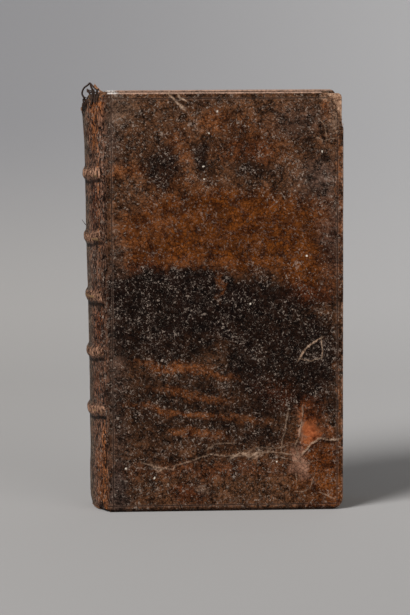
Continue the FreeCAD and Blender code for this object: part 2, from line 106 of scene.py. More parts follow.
def linesAt(stops):
    # places of mesh lines, from (start, spacing) pairs
    places = []
    for (start, step), (end, _) in zip(stops, stops[1:]):
        count = max(1, round((end - start) / step))
        places += [start + (end - start) * i / count for i in range(count)]
    return places + [stops[-1][0]]


def grain(x, y, z, size, octaves=3):
    # fractal noise, about -1 to 1, with features of a size in mm
    return noise.fractal(Vector((x / size, y / size, z / size)), 1.0, 2.0, octaves)


def lineGap(x, z, points):
    # distance from a place to a line of points, and how far along the line it is
    best, along = 1e9, 0.0
    for i, ((x0, z0), (x1, z1)) in enumerate(zip(points, points[1:])):
        dx, dz = x1 - x0, z1 - z0
        t = min(1.0, max(0.0, ((x - x0) * dx + (z - z0) * dz) / (dx * dx + dz * dz)))
        gap = math.hypot(x - x0 - t * dx, z - z0 - t * dz)
        if gap < best:
            best, along = gap, (i + t) / (len(points) - 1)
    return best, along


def inside(x, z, outline):
    hit = False
    for (x0, z0), (x1, z1) in zip(outline, outline[1:] + outline[:1]):
        if (z0 > z) != (z1 > z) and x < x0 + (x1 - x0) * (z - z0) / (z1 - z0):
            hit = not hit
    return hit


def showMesh(name, mesh, materials):
    for polygon in mesh.polygons:
        polygon.use_smooth = True
    mesh.materials.clear()
    for material in materials:
        mesh.materials.append(material)
    shown = bpy.data.objects.new(name, mesh)
    bpy.context.scene.collection.objects.link(shown)
    return shown


def meshFrom(name, bm):
    mesh = bpy.data.meshes.new(name)
    bm.to_mesh(mesh)
    bm.free()
    return mesh


def makePiece(name, bm, materials):
    piece = showMesh(name, meshFrom(name, bm), materials)
    return piece


def finalMesh(shown):
    bpy.context.view_layer.update()
    return bpy.data.meshes.new_from_object(shown.evaluated_get(bpy.context.evaluated_depsgraph_get()))


def applyModifiers(piece):
    shaped = finalMesh(piece)
    piece.modifiers.clear()
    piece.data = shaped


def srgb(red, green, blue):
    # a colour as it looks on the screen, 0 to 255, made linear
    def linear(level):
        level /= 255
        return level / 12.92 if level <= 0.04045 else ((level + 0.055) / 1.055) ** 2.4
    return (linear(red), linear(green), linear(blue), 1.0)


current = {"tree": None}    # the node tree that the next functions add their nodes to


def feed(socket, value):
    if isinstance(value, bpy.types.NodeSocket):
        current["tree"].links.new(value, socket)
    else:
        socket.default_value = value


def node(kind, inputs=None, **settings):
    made = current["tree"].nodes.new(kind)
    for key, value in settings.items():
        setattr(made, key, value)
    for key, value in (inputs or {}).items():
        feed(made.inputs[key], value)
    return made


def maths(operation, a, b=0.0):
    return node("ShaderNodeMath", {0: a, 1: b}, operation=operation).outputs[0]


def plus(a, b):
    return maths("ADD", a, b)


def minus(a, b):
    return maths("SUBTRACT", a, b)


def times(a, b):
    return maths("MULTIPLY", a, b)


def most(a, b):
    # the larger of two masks, where the first may be missing
    return b if a is None else maths("MAXIMUM", a, b)


def vectorMaths(operation, a, b):
    return node("ShaderNodeVectorMath", {0: a, 1: b}, operation=operation).outputs[0]


def moved(place, offset):
    return vectorMaths("ADD", place, offset)


def jitter(field, size):
    # a noise colour from 0..1 to a swing of a size about 0
    return vectorMaths("MULTIPLY", vectorMaths("SUBTRACT", field, (0.5, 0.5, 0.5)), size)


def centred(value, size):
    # noise from 0..1 to a swing of a size about 0
    return times(minus(value, 0.5), size)


def mixColour(factor, a, b):
    return node("ShaderNodeMix", {0: factor, 6: a, 7: b}, data_type="RGBA").outputs[2]


def mark(colour, mask, name):
    tone, strength = marks[name]
    return mixColour(times(mask, strength), colour, srgb(*tone))


def toneMix(factor, pair):
    return mixColour(factor, srgb(*pair[0]), srgb(*pair[1]))


def stretch(value, low, high, toLow=0.0, toHigh=1.0, kind="SMOOTHSTEP"):
    return node("ShaderNodeMapRange", {0: value, 1: low, 2: high, 3: toLow, 4: toHigh},
                interpolation_type=kind).outputs[0]


def noiseNode(place, scale, detail, roughness, distortion):
    return node("ShaderNodeTexNoise", {"Vector": place, "Scale": scale, "Detail": detail,
                                       "Roughness": roughness, "Distortion": distortion})


def cloud(place, scale, detail=3.0, roughness=0.55, distortion=0.0):
    return noiseNode(place, scale, detail, roughness, distortion).outputs[0]


def swirl(place, scale, detail=3.0, roughness=0.55, distortion=0.0):
    # the same noise as three values
    return noiseNode(place, scale, detail, roughness, distortion).outputs[1]


def split(place):
    return node("ShaderNodeSeparateXYZ", {0: place}).outputs


def newGroup(name, inputs):
    # a node group with one mask as its output
    tree = bpy.data.node_groups.new(name, "ShaderNodeTree")
    for label, kind, start in inputs:
        socket = tree.interface.new_socket(label, in_out="INPUT", socket_type="NodeSocket" + kind)
        if start is not None:
            socket.default_value = start
    tree.interface.new_socket("Mask", in_out="OUTPUT", socket_type="NodeSocketFloat")
    current["tree"] = tree
    return tree, tree.nodes.new("NodeGroupInput").outputs, tree.nodes.new("NodeGroupOutput").inputs["Mask"]


def useGroup(group, **inputs):
    return node("ShaderNodeGroup", inputs, node_tree=group).outputs["Mask"]


def newMaterial(name):
    material = bpy.data.materials.new(name)
    material.use_nodes = True
    material.node_tree.nodes.clear()
    current["tree"] = material.node_tree
    return material


def finishMaterial(colour, roughness, height=None, bumpDistance=0.1, specular=0.5):
    # the height comes in millimetres
    shader = node("ShaderNodeBsdfPrincipled", {"Base Color": colour, "Roughness": roughness})
    shader.inputs["Specular IOR Level"].default_value = specular
    if height is not None:
        bump = node("ShaderNodeBump", {"Height": height, "Distance": bumpDistance * mm})
        feed(shader.inputs["Normal"], bump.outputs[0])
    return shader, node("ShaderNodeOutputMaterial", {0: shader.outputs[0]})


def objectPlace():
    # object coordinates in millimetres
    return vectorMaths("MULTIPLY", node("ShaderNodeTexCoord").outputs["Object"], (1000, 1000, 1000))


def attribute(name):
    return node("ShaderNodeAttribute", attribute_name=name).outputs


def makeSoftPatch():
    # a soft-edged oval on a cover: 1 inside, 0 outside; size is the half width and half height
    tree, given, out = newGroup("softPatch", [
        ("Place", "Vector", None), ("Centre", "Vector", (0, 0, 0)), ("Size", "Vector", (1, 1, 1)),
        ("Turn", "Float", 0.0), ("Soft", "Float", 0.3)])
    offset = vectorMaths("SUBTRACT", given["Place"], given["Centre"])
    turned = node("ShaderNodeVectorRotate", {"Vector": offset, "Angle": given["Turn"]},
                  rotation_type="Y_AXIS").outputs[0]
    scaled = vectorMaths("DIVIDE", turned, given["Size"])
    reach = node("ShaderNodeVectorMath", {0: scaled}, operation="LENGTH").outputs["Value"]
    far = plus(1.0, given["Soft"])
    near = minus(1.0, given["Soft"])
    feed(out, stretch(reach, far, near))
    return tree


def makeFlecks():
    # small crooked specks, with an amount from 0 to 1
    tree, given, out = newGroup("flecks", [
        ("Place", "Vector", None), ("Scale", "Float", 1.5), ("Amount", "Float", 0.5)])
    fine = cloud(given["Place"], given["Scale"], 2.5, 0.6, 1.2)
    level = stretch(given["Amount"], 0.0, 1.0, 0.74, 0.52, "LINEAR")
    feed(out, stretch(minus(fine, level), 0.0, 0.045))
    return tree


def makeCracks():
    # thin crooked lines between cells: 1 on a line
    tree, given, out = newGroup("cracks", [
        ("Place", "Vector", None), ("Scale", "Float", 0.8), ("Width", "Float", 0.06)])
    wander = swirl(given["Place"], 1.1, 2.0)
    bent = moved(given["Place"], vectorMaths("MULTIPLY", wander, (1.1, 1.1, 1.1)))
    cells = node("ShaderNodeTexVoronoi", {"Vector": bent, "Scale": given["Scale"]},
                 feature="DISTANCE_TO_EDGE")
    feed(out, stretch(cells.outputs["Distance"], given["Width"], 0.0))
    return tree


def makeCurlLines():
    # short crooked threads, like dried fibres on the skin
    tree, given, out = newGroup("curlLines", [
        ("Place", "Vector", None), ("Scale", "Float", 0.9), ("Width", "Float", 0.02)])
    field = cloud(given["Place"], given["Scale"], 1.5, 0.5, 0.8)
    gap = maths("ABSOLUTE", minus(field, 0.5))
    line = stretch(gap, given["Width"], 0.0)
    apart = moved(given["Place"], (17, 5, 29))
    gate = stretch(cloud(apart, 0.6, 2.0), 0.5, 0.58)
    feed(out, times(line, gate))
    return tree


softPatch = makeSoftPatch()
curlLines = makeCurlLines()
flecks = makeFlecks()
cracks = makeCracks()

# Pairs of tones that the mottling runs between
tones = {
    "umber": ((20, 7, 0), (118, 77, 50)),
    "warm": ((54, 21, 2), (120, 64, 18)),
    "rust": ((30, 9, 0), (114, 56, 24)),
    "soot": ((2, 0, 0), (36, 20, 12)),
    "slate": ((10, 7, 6), (90, 76, 70)),
    "tawny": ((64, 26, 4), (158, 94, 50)),
    "bare": ((106, 44, 16), (184, 104, 62)),
    "smear": ((108, 70, 52), (172, 128, 104)),
    "fibre": ((84, 56, 38), (180, 146, 120)),
    "joint": ((40, 12, 2), (168, 104, 62)),
    "back": ((18, 5, 1), (144, 102, 80)),
    "crown": ((16, 8, 4), (120, 97, 78)),
    "wornSkin": ((60, 32, 18), (194, 148, 120)),
    "scratch": ((138, 106, 82), (198, 170, 146)),
    # the head edge: rubbed skin under a painted highlight
    "headEdgeWearAndHighlight": ((182, 148, 128), (232, 226, 220)),
    "endpaper": ((176, 150, 110), (200, 177, 138)),
    "leafEdge": ((94, 70, 46), (182, 154, 114)),
    "board": ((108, 74, 52), (202, 162, 132)),
}

# Single marks: tone and strength
marks = {
    "shade": ((18, 8, 4), 0.42),
    # pale specks, partly painted glints
    "specksAndGlints": ((162, 144, 130), 0.6),
    "pits": ((14, 8, 5), 1.0),
    "cracks": ((16, 9, 6), 1.0),
    "besideLine": ((140, 112, 96), 0.22),
    "inLine": ((16, 9, 6), 0.7),
    # painted shadow below the lifted lips and the crease
    "strokeShadow": ((14, 8, 5), 0.8),
    "lime": ((226, 212, 194), 1.0),
    # painted shade in the recesses
    "recessShade": ((12, 6, 4), 0.85),
    # dirt and a painted contact shadow at the foot
    "footDirtAndShadow": ((14, 7, 4), 0.85),
    "burn": ((112, 76, 42), 0.55),
    "rimBurn": ((84, 56, 32), 0.5),
    "gutter": ((96, 66, 40), 0.5),
    "foxing": ((128, 78, 38), 0.55),
    "smallFoxing": ((98, 66, 40), 0.4),
    "pulp": ((214, 192, 152), 1.0),
    "leafGaps": ((52, 35, 22), 0.6),
    "headDust": ((78, 62, 46), 0.5),
    "leafSpots": ((70, 44, 24), 0.5),
    "boardDirt": ((62, 38, 26), 1.0),
    "boardThreads": ((206, 176, 150), 0.7),
}

# Stained and worn areas of the front cover: tone, then each area's distance from the joint, height,
# half width and half height in mm, turn in degrees (positive sinks to the right), softness and strength
frontAreas = [
    ("warm", [(50.0, 114.5, 45, 17, 0, 0.2, 1.0), (84, 99, 14, 12, 20, 0.3, 1.0),
              (28, 104, 20, 8, 0, 0.3, 1.0), (60, 150, 16, 9, 0, 0.9, 0.45), (30, 132, 12, 5, 0, 0.8, 0.5)]),
    ("tawny", [(45, 158.5, 6, 4.5, 0, 0.6, 0.65), (9.5, 138.5, 6, 3, 0, 0.7, 0.6),
               (30, 148, 4, 8, 10, 0.8, 0.6), (33, 100.5, 14, 3.0, 0, 0.7, 0.45),
               (20, 116, 6, 5, 0, 0.8, 0.55), (14, 110, 4, 3, 0, 0.8, 0.5)]),
    ("rust", [(58, 146.5, 9, 4, 0, 0.8, 0.6), (81, 88, 12, 4, 0, 0.5, 0.9), (16, 99, 7, 2.5, 0, 0.7, 0.9)]),
    ("slate", [(87, 134, 8, 10, 0, 0.8, 0.6), (92, 111, 5, 17, 0, 0.8, 0.55),
               (2.5, 155, 3.5, 14, 0, 0.8, 0.6), (3.5, 60, 4, 46, 0, 0.7, 0.55),
               (3.5, 12, 3.5, 14, 0, 0.7, 0.8), (78, 158, 12, 6, 0, 0.9, 0.4)]),
    ("soot", [(22.7, 140, 6.5, 7.5, 0, 0.4, 0.85), (38.5, 144, 4.5, 6.5, 10, 0.5, 0.9),
              (61, 139, 12, 3.0, 8, 0.6, 0.75), (30, 85.5, 36, 14.5, 2, 0.18, 1.0),
              (42, 90, 20, 10, 3, 0.35, 0.8), (60, 80.5, 26, 16.5, 10, 0.3, 0.95),
              (72, 62, 26, 22, 0, 0.25, 0.95), (24, 73, 26, 14, 0, 0.3, 0.9), (63, 30, 10, 5, 0, 0.5, 0.85),
              (36, 44, 36, 18, 0, 0.5, 0.74), (65, 43, 12, 9, 0, 0.6, 0.9), (90.5, 46, 5, 9, 0, 0.6, 0.75),
              (93, 38, 3.5, 7, 0, 0.7, 0.5), (92, 62, 5, 13, 0, 0.7, 0.6), (88, 85, 9, 6, 0, 0.8, 0.55),
              (85, 28.2, 3.2, 1.5, -40, 0.5, 1.0), (28, 22, 8, 2.5, 0, 0.8, 0.5)]),
    ("tawny", [(27, 58.8, 12, 2.2, 4, 0.7, 0.85), (45.5, 55.5, 8, 1.2, 8, 0.7, 0.6),
               (33.5, 48, 14, 1.6, 9, 0.7, 0.75), (36, 40.2, 22, 1.3, 8, 0.7, 0.8),
               (59, 37, 7, 1.6, 5, 0.8, 0.5), (37, 32, 10, 1.7, 4, 0.7, 0.75),
               (93.6, 4.2, 3.2, 4.2, -30, 0.7, 0.9), (88, 2.0, 6, 1.4, 0, 0.8, 0.6),
               (94.6, 30, 1.0, 26, 0, 0.7, 0.6), (94.8, 128, 0.9, 24, 0, 0.7, 0.7),
               (46, 92, 1.4, 5.5, 0, 0.7, 0.5), (14, 60, 4, 1.4, 10, 0.8, 0.5),
               (92.2, 165, 4.2, 6.5, 20, 0.6, 0.9)]),
    ("warm", [(88, 14, 10, 14, 0, 0.6, 0.95)]),
    ("rust", [(40, 17, 34, 3, 0, 0.9, 0.5), (34, 7, 6, 3.5, 0, 0.7, 0.8), (69, 48, 6, 5, 0, 0.9, 0.4),
              (84, 22, 10, 8, 0, 0.8, 0.6)]),
    ("fibre", [(19.5, 18, 4.2, 1.5, 8, 0.7, 0.7), (5, 163, 6, 6, 0, 0.9, 0.28),
               (60, 23.0, 4.5, 1.5, 0, 0.8, 0.6), (38, 8.5, 2.4, 2.0, 0, 0.7, 0.65),
               (93.4, 163.5, 3.2, 7.0, 16, 0.6, 0.95), (90, 167.6, 4.5, 1.6, 10, 0.7, 0.8)]),
    ("rust", [(82.5, 40.5, 4.2, 5.5, 0, 0.6, 0.9)]),
    ("tawny", [(82.6, 31.5, 4.6, 8.5, -8, 0.8, 0.7), (86, 12, 5, 5, 0, 0.9, 0.5)]),
    ("bare", [(82.8, 32.6, 3.1, 6.0, -10, 0.7, 1.0), (80.6, 27.0, 1.3, 3.4, -14, 0.8, 0.7),
              (88.6, 33.0, 1.0, 1.8, 0, 0.9, 0.45)]),
    ("smear", [(78.2, 18.6, 3.0, 6.4, -22, 0.5, 1.0), (79.6, 24.5, 1.6, 3.0, -22, 0.7, 0.9),
               (79.0, 33.0, 1.0, 6.0, -6, 0.8, 0.7)]),
]

# Scratches, lifted edges and the long crease: points in mm from the joint and the foot, half width, strength
frontStrokes = [
    ([(79.3, 22.9), (82.4, 26.6), (86.5, 29.4), (90.2, 28.8), (94.0, 29.0)], 0.36, 0.85),
    ([(79.5, 42.5), (79.2, 38.0), (77.9, 29.8), (76.3, 26.2), (77.5, 22.8)], 0.34, 0.5),
    ([(73.6, 41.0), (72.2, 32.3), (71.3, 30.0), (70.5, 23.3)], 0.26, 0.4),
    ([(14.0, 20.4), (19.8, 18.4), (26.8, 17.2), (27.6, 18.9), (34.2, 20.8), (41.5, 23.3),
      (49.2, 22.5)], 0.30, 0.45),
    ([(49.2, 22.5), (54.5, 22.5), (59.0, 23.3), (64.0, 24.1), (69.7, 23.7), (76.2, 22.5)], 0.30, 0.55),
    ([(78.0, 62.0), (80.6, 66.2), (83.5, 68.4), (87.0, 70.4)], 0.34, 1.0),
    ([(87.0, 70.4), (87.4, 66.0), (87.2, 62.5)], 0.26, 0.8), ([(87.2, 62.5), (82.8, 61.0), (78.0, 62.0)], 0.22, 0.55),
    ([(24.9, 170.2), (28.3, 166.6), (31.6, 163.4)], 0.42, 1.0),
    ([(29.2, 169.2), (30.4, 167.6), (32.4, 166.6)], 0.34, 0.9),
    ([(92.0, 155.5), (94.5, 156.6)], 0.35, 0.7),
    ([(92.3, 153.6), (94.2, 154.0)], 0.35, 0.6),
    ([(87.0, 7.0), (92.0, 4.6)], 0.3, 0.5),
    ([(40.0, 25.0), (44.0, 27.5), (52.0, 28.0)], 0.28, 0.35),
    ([(50.0, 21.4), (54.0, 23.8), (58.0, 22.2), (62.5, 24.8)], 0.34, 0.75),
    ([(54.0, 24.6), (59.5, 21.6), (66.0, 24.9)], 0.24, 0.6),
    ([(18.0, 19.8), (20.4, 16.4), (24.6, 18.6)], 0.26, 0.55),
    ([(68.0, 22.0), (74.0, 21.0), (80.0, 19.4), (86.0, 20.2)], 0.18, 0.35),
    ([(62.0, 26.0), (68.0, 25.4), (73.0, 26.4)], 0.20, 0.5),
    ([(84.0, 14.5), (82.6, 9.0), (80.0, 7.6), (77.0, 7.4)], 0.22, 0.45),
    ([(76.6, 15.0), (76.9, 11.0)], 0.24, 0.45),
    ([(86.0, 159.0), (88.6, 156.5), (89.0, 152.0)], 0.24, 0.5),
    ([(84.0, 152.0), (88.0, 150.5), (93.0, 151.5)], 0.24, 0.5),
]

# Bright specks of lime on the front cover, in mm from the joint and the foot
limeSpots = [(45.2, 162.2), (41.5, 153.7), (39.4, 140.2), (39.8, 135.3), (7.6, 18.0), (19.0, 13.9),
             (58.2, 84.6), (81.1, 103.8), (87.3, 145.9), (68.9, 20.0)]


# Areas of the spine's front half; distances run straight across from the joint
spineAreas = [
    ("tawny", [(-1.6, 8.0, 1.8, 5.5, 4, 0.7, 0.95), (-3.4, 19, 1.2, 6.5, -6, 0.8, 0.7),
               (-4.4, 155, 1.4, 8, 0, 0.8, 0.7), (-4.6, 165, 2.2, 3, 0, 0.7, 0.8),
               (-1.6, 167, 1.2, 5, 0, 0.7, 0.9)]),
    ("rust", [(-5.2, 124, 2.4, 8, 0, 0.8, 0.9), (-3.0, 76, 2.0, 7, 0, 0.8, 0.8),
              (-5.0, 52, 2.2, 6, 0, 0.8, 0.8)]),
    ("soot", [(-4.6, 99, 0.8, 7.5, 0, 0.5, 0.9), (-6.6, 101, 0.5, 6, 0, 0.6, 0.7),
              (-6.4, 76, 0.6, 6, 0, 0.6, 0.7), (-2.5, 2.0, 0.6, 2.6, 10, 0.4, 1.0),
              (-6.0, 30, 0.6, 6, 0, 0.6, 0.7), (-7.0, 124, 0.5, 6, 0, 0.6, 0.6),
              (-1.2, 60, 1.0, 50, 0, 0.8, 0.45), (-7.4, 164.5, 1.4, 2.8, 0, 0.5, 1.0)]),
]

# Areas of the rear cover, in the same way
rearAreas = [
    ("warm", [(40, 60, 34, 22, 8, 0.3, 1.0), (70, 120, 18, 14, 0, 0.5, 0.8)]),
    ("slate", [(20, 145, 20, 14, 0, 0.6, 0.7), (3.5, 80, 4, 60, 0, 0.7, 0.6)]),
    ("soot", [(55, 95, 34, 12, -6, 0.25, 0.95), (30, 20, 24, 10, 0, 0.5, 0.8),
              (78, 150, 12, 9, 0, 0.6, 0.7)]),
    ("tawny", [(60, 78, 16, 2.0, 5, 0.7, 0.7), (48, 70, 12, 1.6, -4, 0.7, 0.6),
               (30, 128, 8, 2.2, 10, 0.8, 0.6)]),
    ("rust", [(84, 40, 10, 20, 0, 0.7, 0.8), (12, 100, 9, 6, 0, 0.8, 0.6)]),
    ("fibre", [(90, 6, 5, 4, 30, 0.7, 0.8), (92, 165, 4, 5, -30, 0.7, 0.7)]),
]


def coverPatch(place, side, s, z, size, turn=0.0, soft=0.6, deep=1000):
    # an oval on a cover, s from its joint and z up
    return useGroup(softPatch, Place=place, Centre=(book["jointX"] + s, side * book["face"], z),
                    Size=(size[0], deep, size[1]), Turn=turn, Soft=soft)


def toward(mask, pair, name):
    # draws both tones of a pair to a named pair
    return [mixColour(mask, old, srgb(*new)) for old, new in zip(pair, tones[name])]


def paintAreas(place, pair, side, areas):
    # lays the areas of one cover over a pair of tones
    onSide = stretch(times(split(place)[1], float(side)), 8.0, 14.0)
    for name, patches in areas:
        mask = None
        for s, z, wide, high, turn, soft, strength in patches:
            patch = coverPatch(place, side, s, z, (wide, high), math.radians(-turn), soft)
            mask = most(mask, times(patch, strength))
        pair = toward(times(mask, onSide), pair, name)
    return pair


def paintStrokes(place, side, strokes):
    # one mask for the thin lines, as a chain of narrow ovals
    mask = None
    for points, thick, strength in strokes:
        for (s0, z0), (s1, z1) in zip(points, points[1:]):
            size = (math.hypot(s1 - s0, z1 - z0) / 2 + thick, thick)
            patch = coverPatch(place, side, (s0 + s1) / 2, (z0 + z1) / 2, size, math.atan2(z1 - z0, s1 - s0), 0.75)
            mask = most(mask, times(patch, strength))
    return mask


# The blind line along the edges of the covers, in mm
ruled = {"inset": 2.45, "depth": 0.2, "grooveHalf": 0.28, "darkHalf": 0.34, "paleHalf": 0.75}


def ruledLine(axes):
    # distance from the blind line
    inset, width, height = ruled["inset"], book["coverWidth"], book["coverHeight"]
    gap = None
    for axis, at in ((0, book["jointX"] + inset), (0, book["jointX"] + width - inset),
                     (2, inset), (2, height - inset)):
        one = maths("ABSOLUTE", minus(axes[axis], at))
        gap = one if gap is None else maths("MINIMUM", gap, one)
    return gap


# Finish of the calf; the bump is in mm
calfFinish = {"smoothest": 0.36, "roughest": 0.62, "wornRougher": 0.25, "bump": 0.36, "specular": 0.05}


def makeCalf():
    material = newMaterial("mottledCalf")
    place = attribute("restPlace")["Vector"]    # where the skin lies when the book is closed, in mm
    axes = split(place)
    near = swirl(place, 0.42, 6.0, 0.75)
    bent = moved(place, moved(jitter(swirl(place, 0.09, 3.0, 0.6), (14, 0, 9)), jitter(near, (8, 0, 6))))
    bentNear = moved(place, jitter(near, (2.6, 0, 5)))
    pair = [srgb(*tone) for tone in tones["umber"]]
    pair = paintAreas(bent, pair, front, frontAreas)
    pair = paintAreas(bent, pair, rear, rearAreas)
    # the spine's own tones, with fibres along it, and the worn skin along the joints
    onSpine = stretch(axes[0], book["jointX"] + 1.6, book["jointX"] - 0.6)
    drawn = vectorMaths("MULTIPLY", place, (1.0, 1.0, 0.34))
    fibres = cloud(drawn, 1.15, 6.0, 0.74, 0.6)
    drift = cloud(place, 0.13, 3.0)
    olive = stretch(maths("ABSOLUTE", axes[1]), 10.5, 6.0)
    olive = times(times(olive, onSpine), stretch(drift, 0.3, 0.6, 0.3, 1.0))
    pair = toward(onSpine, pair, "back")
    pair = toward(olive, pair, "crown")
    pair = paintAreas(bentNear, pair, front, spineAreas)
    jointWear = plus(attribute("joint")["Fac"], centred(fibres, 1.7))
    jointWear = stretch(plus(jointWear, centred(drift, 1.0)), 0.42, 0.86)
    pair = toward(jointWear, pair, "joint")
    # mottling, coarser and softer on the scar and the smear under it
    fine = cloud(place, 1.25, 5.0, 0.74, 0.5)
    blots = cloud(place, 0.30, 4.0, 0.62, 0.4)
    plainMottle = plus(times(fine, 0.56), times(blots, 0.44))
    mottle = mixColour(onSpine, plainMottle, fibres)
    mottled = mixColour(onSpine, stretch(mottle, 0.39, 0.62), stretch(fibres, 0.42, 0.6))
    smeared = coverPatch(bent, front, 78.2, 18.6, (3.4, 6.6), math.radians(22), 0.6, 20)
    scarred = most(coverPatch(bent, front, 83, 32.5, (3.4, 7.4), math.radians(10), 0.6, 20), smeared)
    mottled = mixColour(times(scarred, 0.7), mottled, stretch(blots, 0.2, 0.7))
    colour = mixColour(mottled, *pair)
    colour = mark(colour, minus(1.0, stretch(cloud(place, 0.10, 4.0, 0.6, 0.6), 0.36, 0.62)), "shade")
    # pale specks and curls, partly painted glints of the varnish, gather in drifts, with fewer on the orange band
    specksAndGlints = useGroup(flecks, Place=place, Scale=0.98, Amount=stretch(drift, 0.35, 0.65, 0.44, 0.76))
    crumbs = useGroup(flecks, Place=moved(place, (71, 3, 57)), Scale=0.55, Amount=0.46)
    curls = useGroup(curlLines, Place=place, Scale=0.75, Width=0.022)
    pale = most(most(specksAndGlints, times(curls, 0.8)), times(crumbs, 0.75))
    clean = most(times(coverPatch(bent, front, 46, 113, (42, 15), 0.0, 0.35, 20), 0.42), scarred)
    pale = times(pale, minus(1.0, clean))
    colour = mark(colour, pale, "specksAndGlints")
    pits = useGroup(flecks, Place=moved(place, (40, 7, 13)), Scale=1.1, Amount=0.55)
    colour = mark(colour, times(pits, minus(0.62, times(clean, 0.6))), "pits")
    # wear shows the fibres of the skin
    worn = stretch(plus(attribute("wear")["Fac"], centred(plainMottle, 2.2)), 0.45, 0.85)
    colour = mixColour(times(worn, 0.75), colour, toneMix(mottled, tones["wornSkin"]))
    cracking = useGroup(cracks, Place=mixColour(onSpine, place, drawn), Scale=0.62, Width=0.075)
    cracking = times(cracking, plus(stretch(drift, 0.62, 0.4, 0.1, 0.75), times(onSpine, 0.35)))
    colour = mark(colour, cracking, "cracks")
    # the blind line, dark in its groove and pale beside it
    gap = ruledLine(axes)
    kept = times(stretch(maths("ABSOLUTE", axes[1]), 17.0, 17.1), stretch(blots, 0.30, 0.55))
    colour = mark(colour, times(stretch(gap, ruled["paleHalf"], ruled["darkHalf"]), kept), "besideLine")
    colour = mark(colour, times(stretch(gap, ruled["darkHalf"], 0.1), kept), "inLine")
    # the rubbed head edge with a painted highlight along it, palest beside the spine
    headEdgeWearAndHighlight = stretch(axes[2], book["coverHeight"] - 0.75, book["coverHeight"] - 0.15)
    headEdgeWearAndHighlight = times(headEdgeWearAndHighlight, stretch(fine, 0.34, 0.5, 0.35, 1.0))
    besideSpine = stretch(axes[0], book["jointX"] + 6.5, book["jointX"] + 3.5)
    colour = mixColour(times(headEdgeWearAndHighlight, 0.85), colour, toneMix(besideSpine, tones["headEdgeWearAndHighlight"]))
    # scratches and the crease, with painted shadow lines below the scar's lifted lips and the crease
    shaken = moved(place, jitter(swirl(place, 0.55, 4.0, 0.7), (1.9, 0, 1.9)))
    onFront = stretch(axes[1], -14.0, -16.0)
    strokes = times(paintStrokes(shaken, front, frontStrokes), onFront)
    strokes = times(strokes, stretch(fine, 0.30, 0.52))
    # painted shadow, offset below the first four strokes
    shadeBelow = paintStrokes(moved(shaken, (-0.25, 0, 0.75)), front, frontStrokes[:4])
    colour = mark(colour, times(shadeBelow, onFront), "strokeShadow")
    colour = mixColour(strokes, colour, toneMix(mottled, tones["scratch"]))
    spots = None
    for s, z in limeSpots:
        spots = most(spots, coverPatch(shaken, front, s, z, (0.34, 0.34)))
    colour = mark(colour, times(spots, onFront), "lime")
    # painted shade beside the raised bands and under the torn head, and dark dirt with a painted contact shadow on
    # the foot edges
    recessShade = plus(attribute("recessShade")["Fac"], centred(fibres, 0.5))
    colour = mark(colour, stretch(recessShade, 0.3, 0.9), "recessShade")
    # the foot edge darkened: dirt together with a painted contact shadow
    colour = mark(colour, stretch(plus(axes[2], centred(fine, 1.2)), 1.7, 0.7), "footDirtAndShadow")
    roughness = plus(stretch(mottle, 0.3, 0.7, calfFinish["smoothest"], calfFinish["roughest"]),
                     times(most(worn, jointWear), calfFinish["wornRougher"]))
    height = minus(minus(times(mottle, 1.4), times(cracking, 0.8)), times(pits, 0.5))
    height = plus(height, times(pale, 0.15))
    finishMaterial(colour, roughness, height, calfFinish["bump"], calfFinish["specular"])
    return material


def makePlainFibre(name, pair, scale):
    # paper, cord, thread and raw leather: fibres in two tones
    material = newMaterial(name)
    place = objectPlace()
    fibres = cloud(place, scale, 5.0, 0.65, 0.3)
    stains = cloud(place, scale * 0.12, 3.0, 0.6)
    share = plus(stretch(fibres, 0.3, 0.7, 0.0, 0.6), stretch(stains, 0.35, 0.65, 0.0, 0.4))
    finishMaterial(toneMix(share, pair), 0.9, fibres, 0.15, 0.3)
    return material


def edgeInset(axes):
    # distance in mm from the nearest outer edge of a cover
    fore = minus(book["jointX"] + book["coverWidth"], axes[0])
    head = minus(book["coverHeight"], axes[2])
    return maths("MINIMUM", fore, maths("MINIMUM", head, axes[2]))


def makeEndpaper():
    # aged laid paper, browned where the turn-ins touch it, with foxing and the ridge of what lies under it
    material = newMaterial("agedEndpaper")
    place = objectPlace()
    axes = split(place)
    pulp = cloud(place, 0.9, 4.0, 0.7)
    colour = toneMix(stretch(cloud(place, 0.035, 5.0, 0.62, 0.4), 0.35, 0.66), tones["endpaper"])
    inset = plus(edgeInset(axes), centred(cloud(place, 0.16, 4.0, 0.65), 9.0))
    colour = mark(colour, stretch(inset, 15.0, 10.5), "burn")
    colour = mark(colour, stretch(inset, 6.5, 2.0), "rimBurn")
    colour = mark(colour, stretch(minus(axes[0], book["jointX"]), 7.0, 0.0), "gutter")
    colour = mark(colour, useGroup(flecks, Place=place, Scale=0.28, Amount=0.42), "foxing")
    colour = mark(colour, useGroup(flecks, Place=moved(place, (9, 3, 21)), Scale=0.9, Amount=0.35), "smallFoxing")
    colour = mark(colour, stretch(pulp, 0.35, 0.7, 0.0, 0.22), "pulp")
    # laid lines run across
    laid = node("ShaderNodeTexWave", {"Vector": place, "Scale": 0.32, "Distortion": 0.6, "Detail": 2.0},
                wave_type="BANDS", bands_direction="Z").outputs[1]
    ridge = stretch(edgeInset(axes), 12.95, 12.3)
    height = plus(plus(times(laid, 0.12), times(pulp, 0.5)), times(ridge, 1.6))
    finishMaterial(colour, 0.9, height, 0.14, 0.2)
    return material


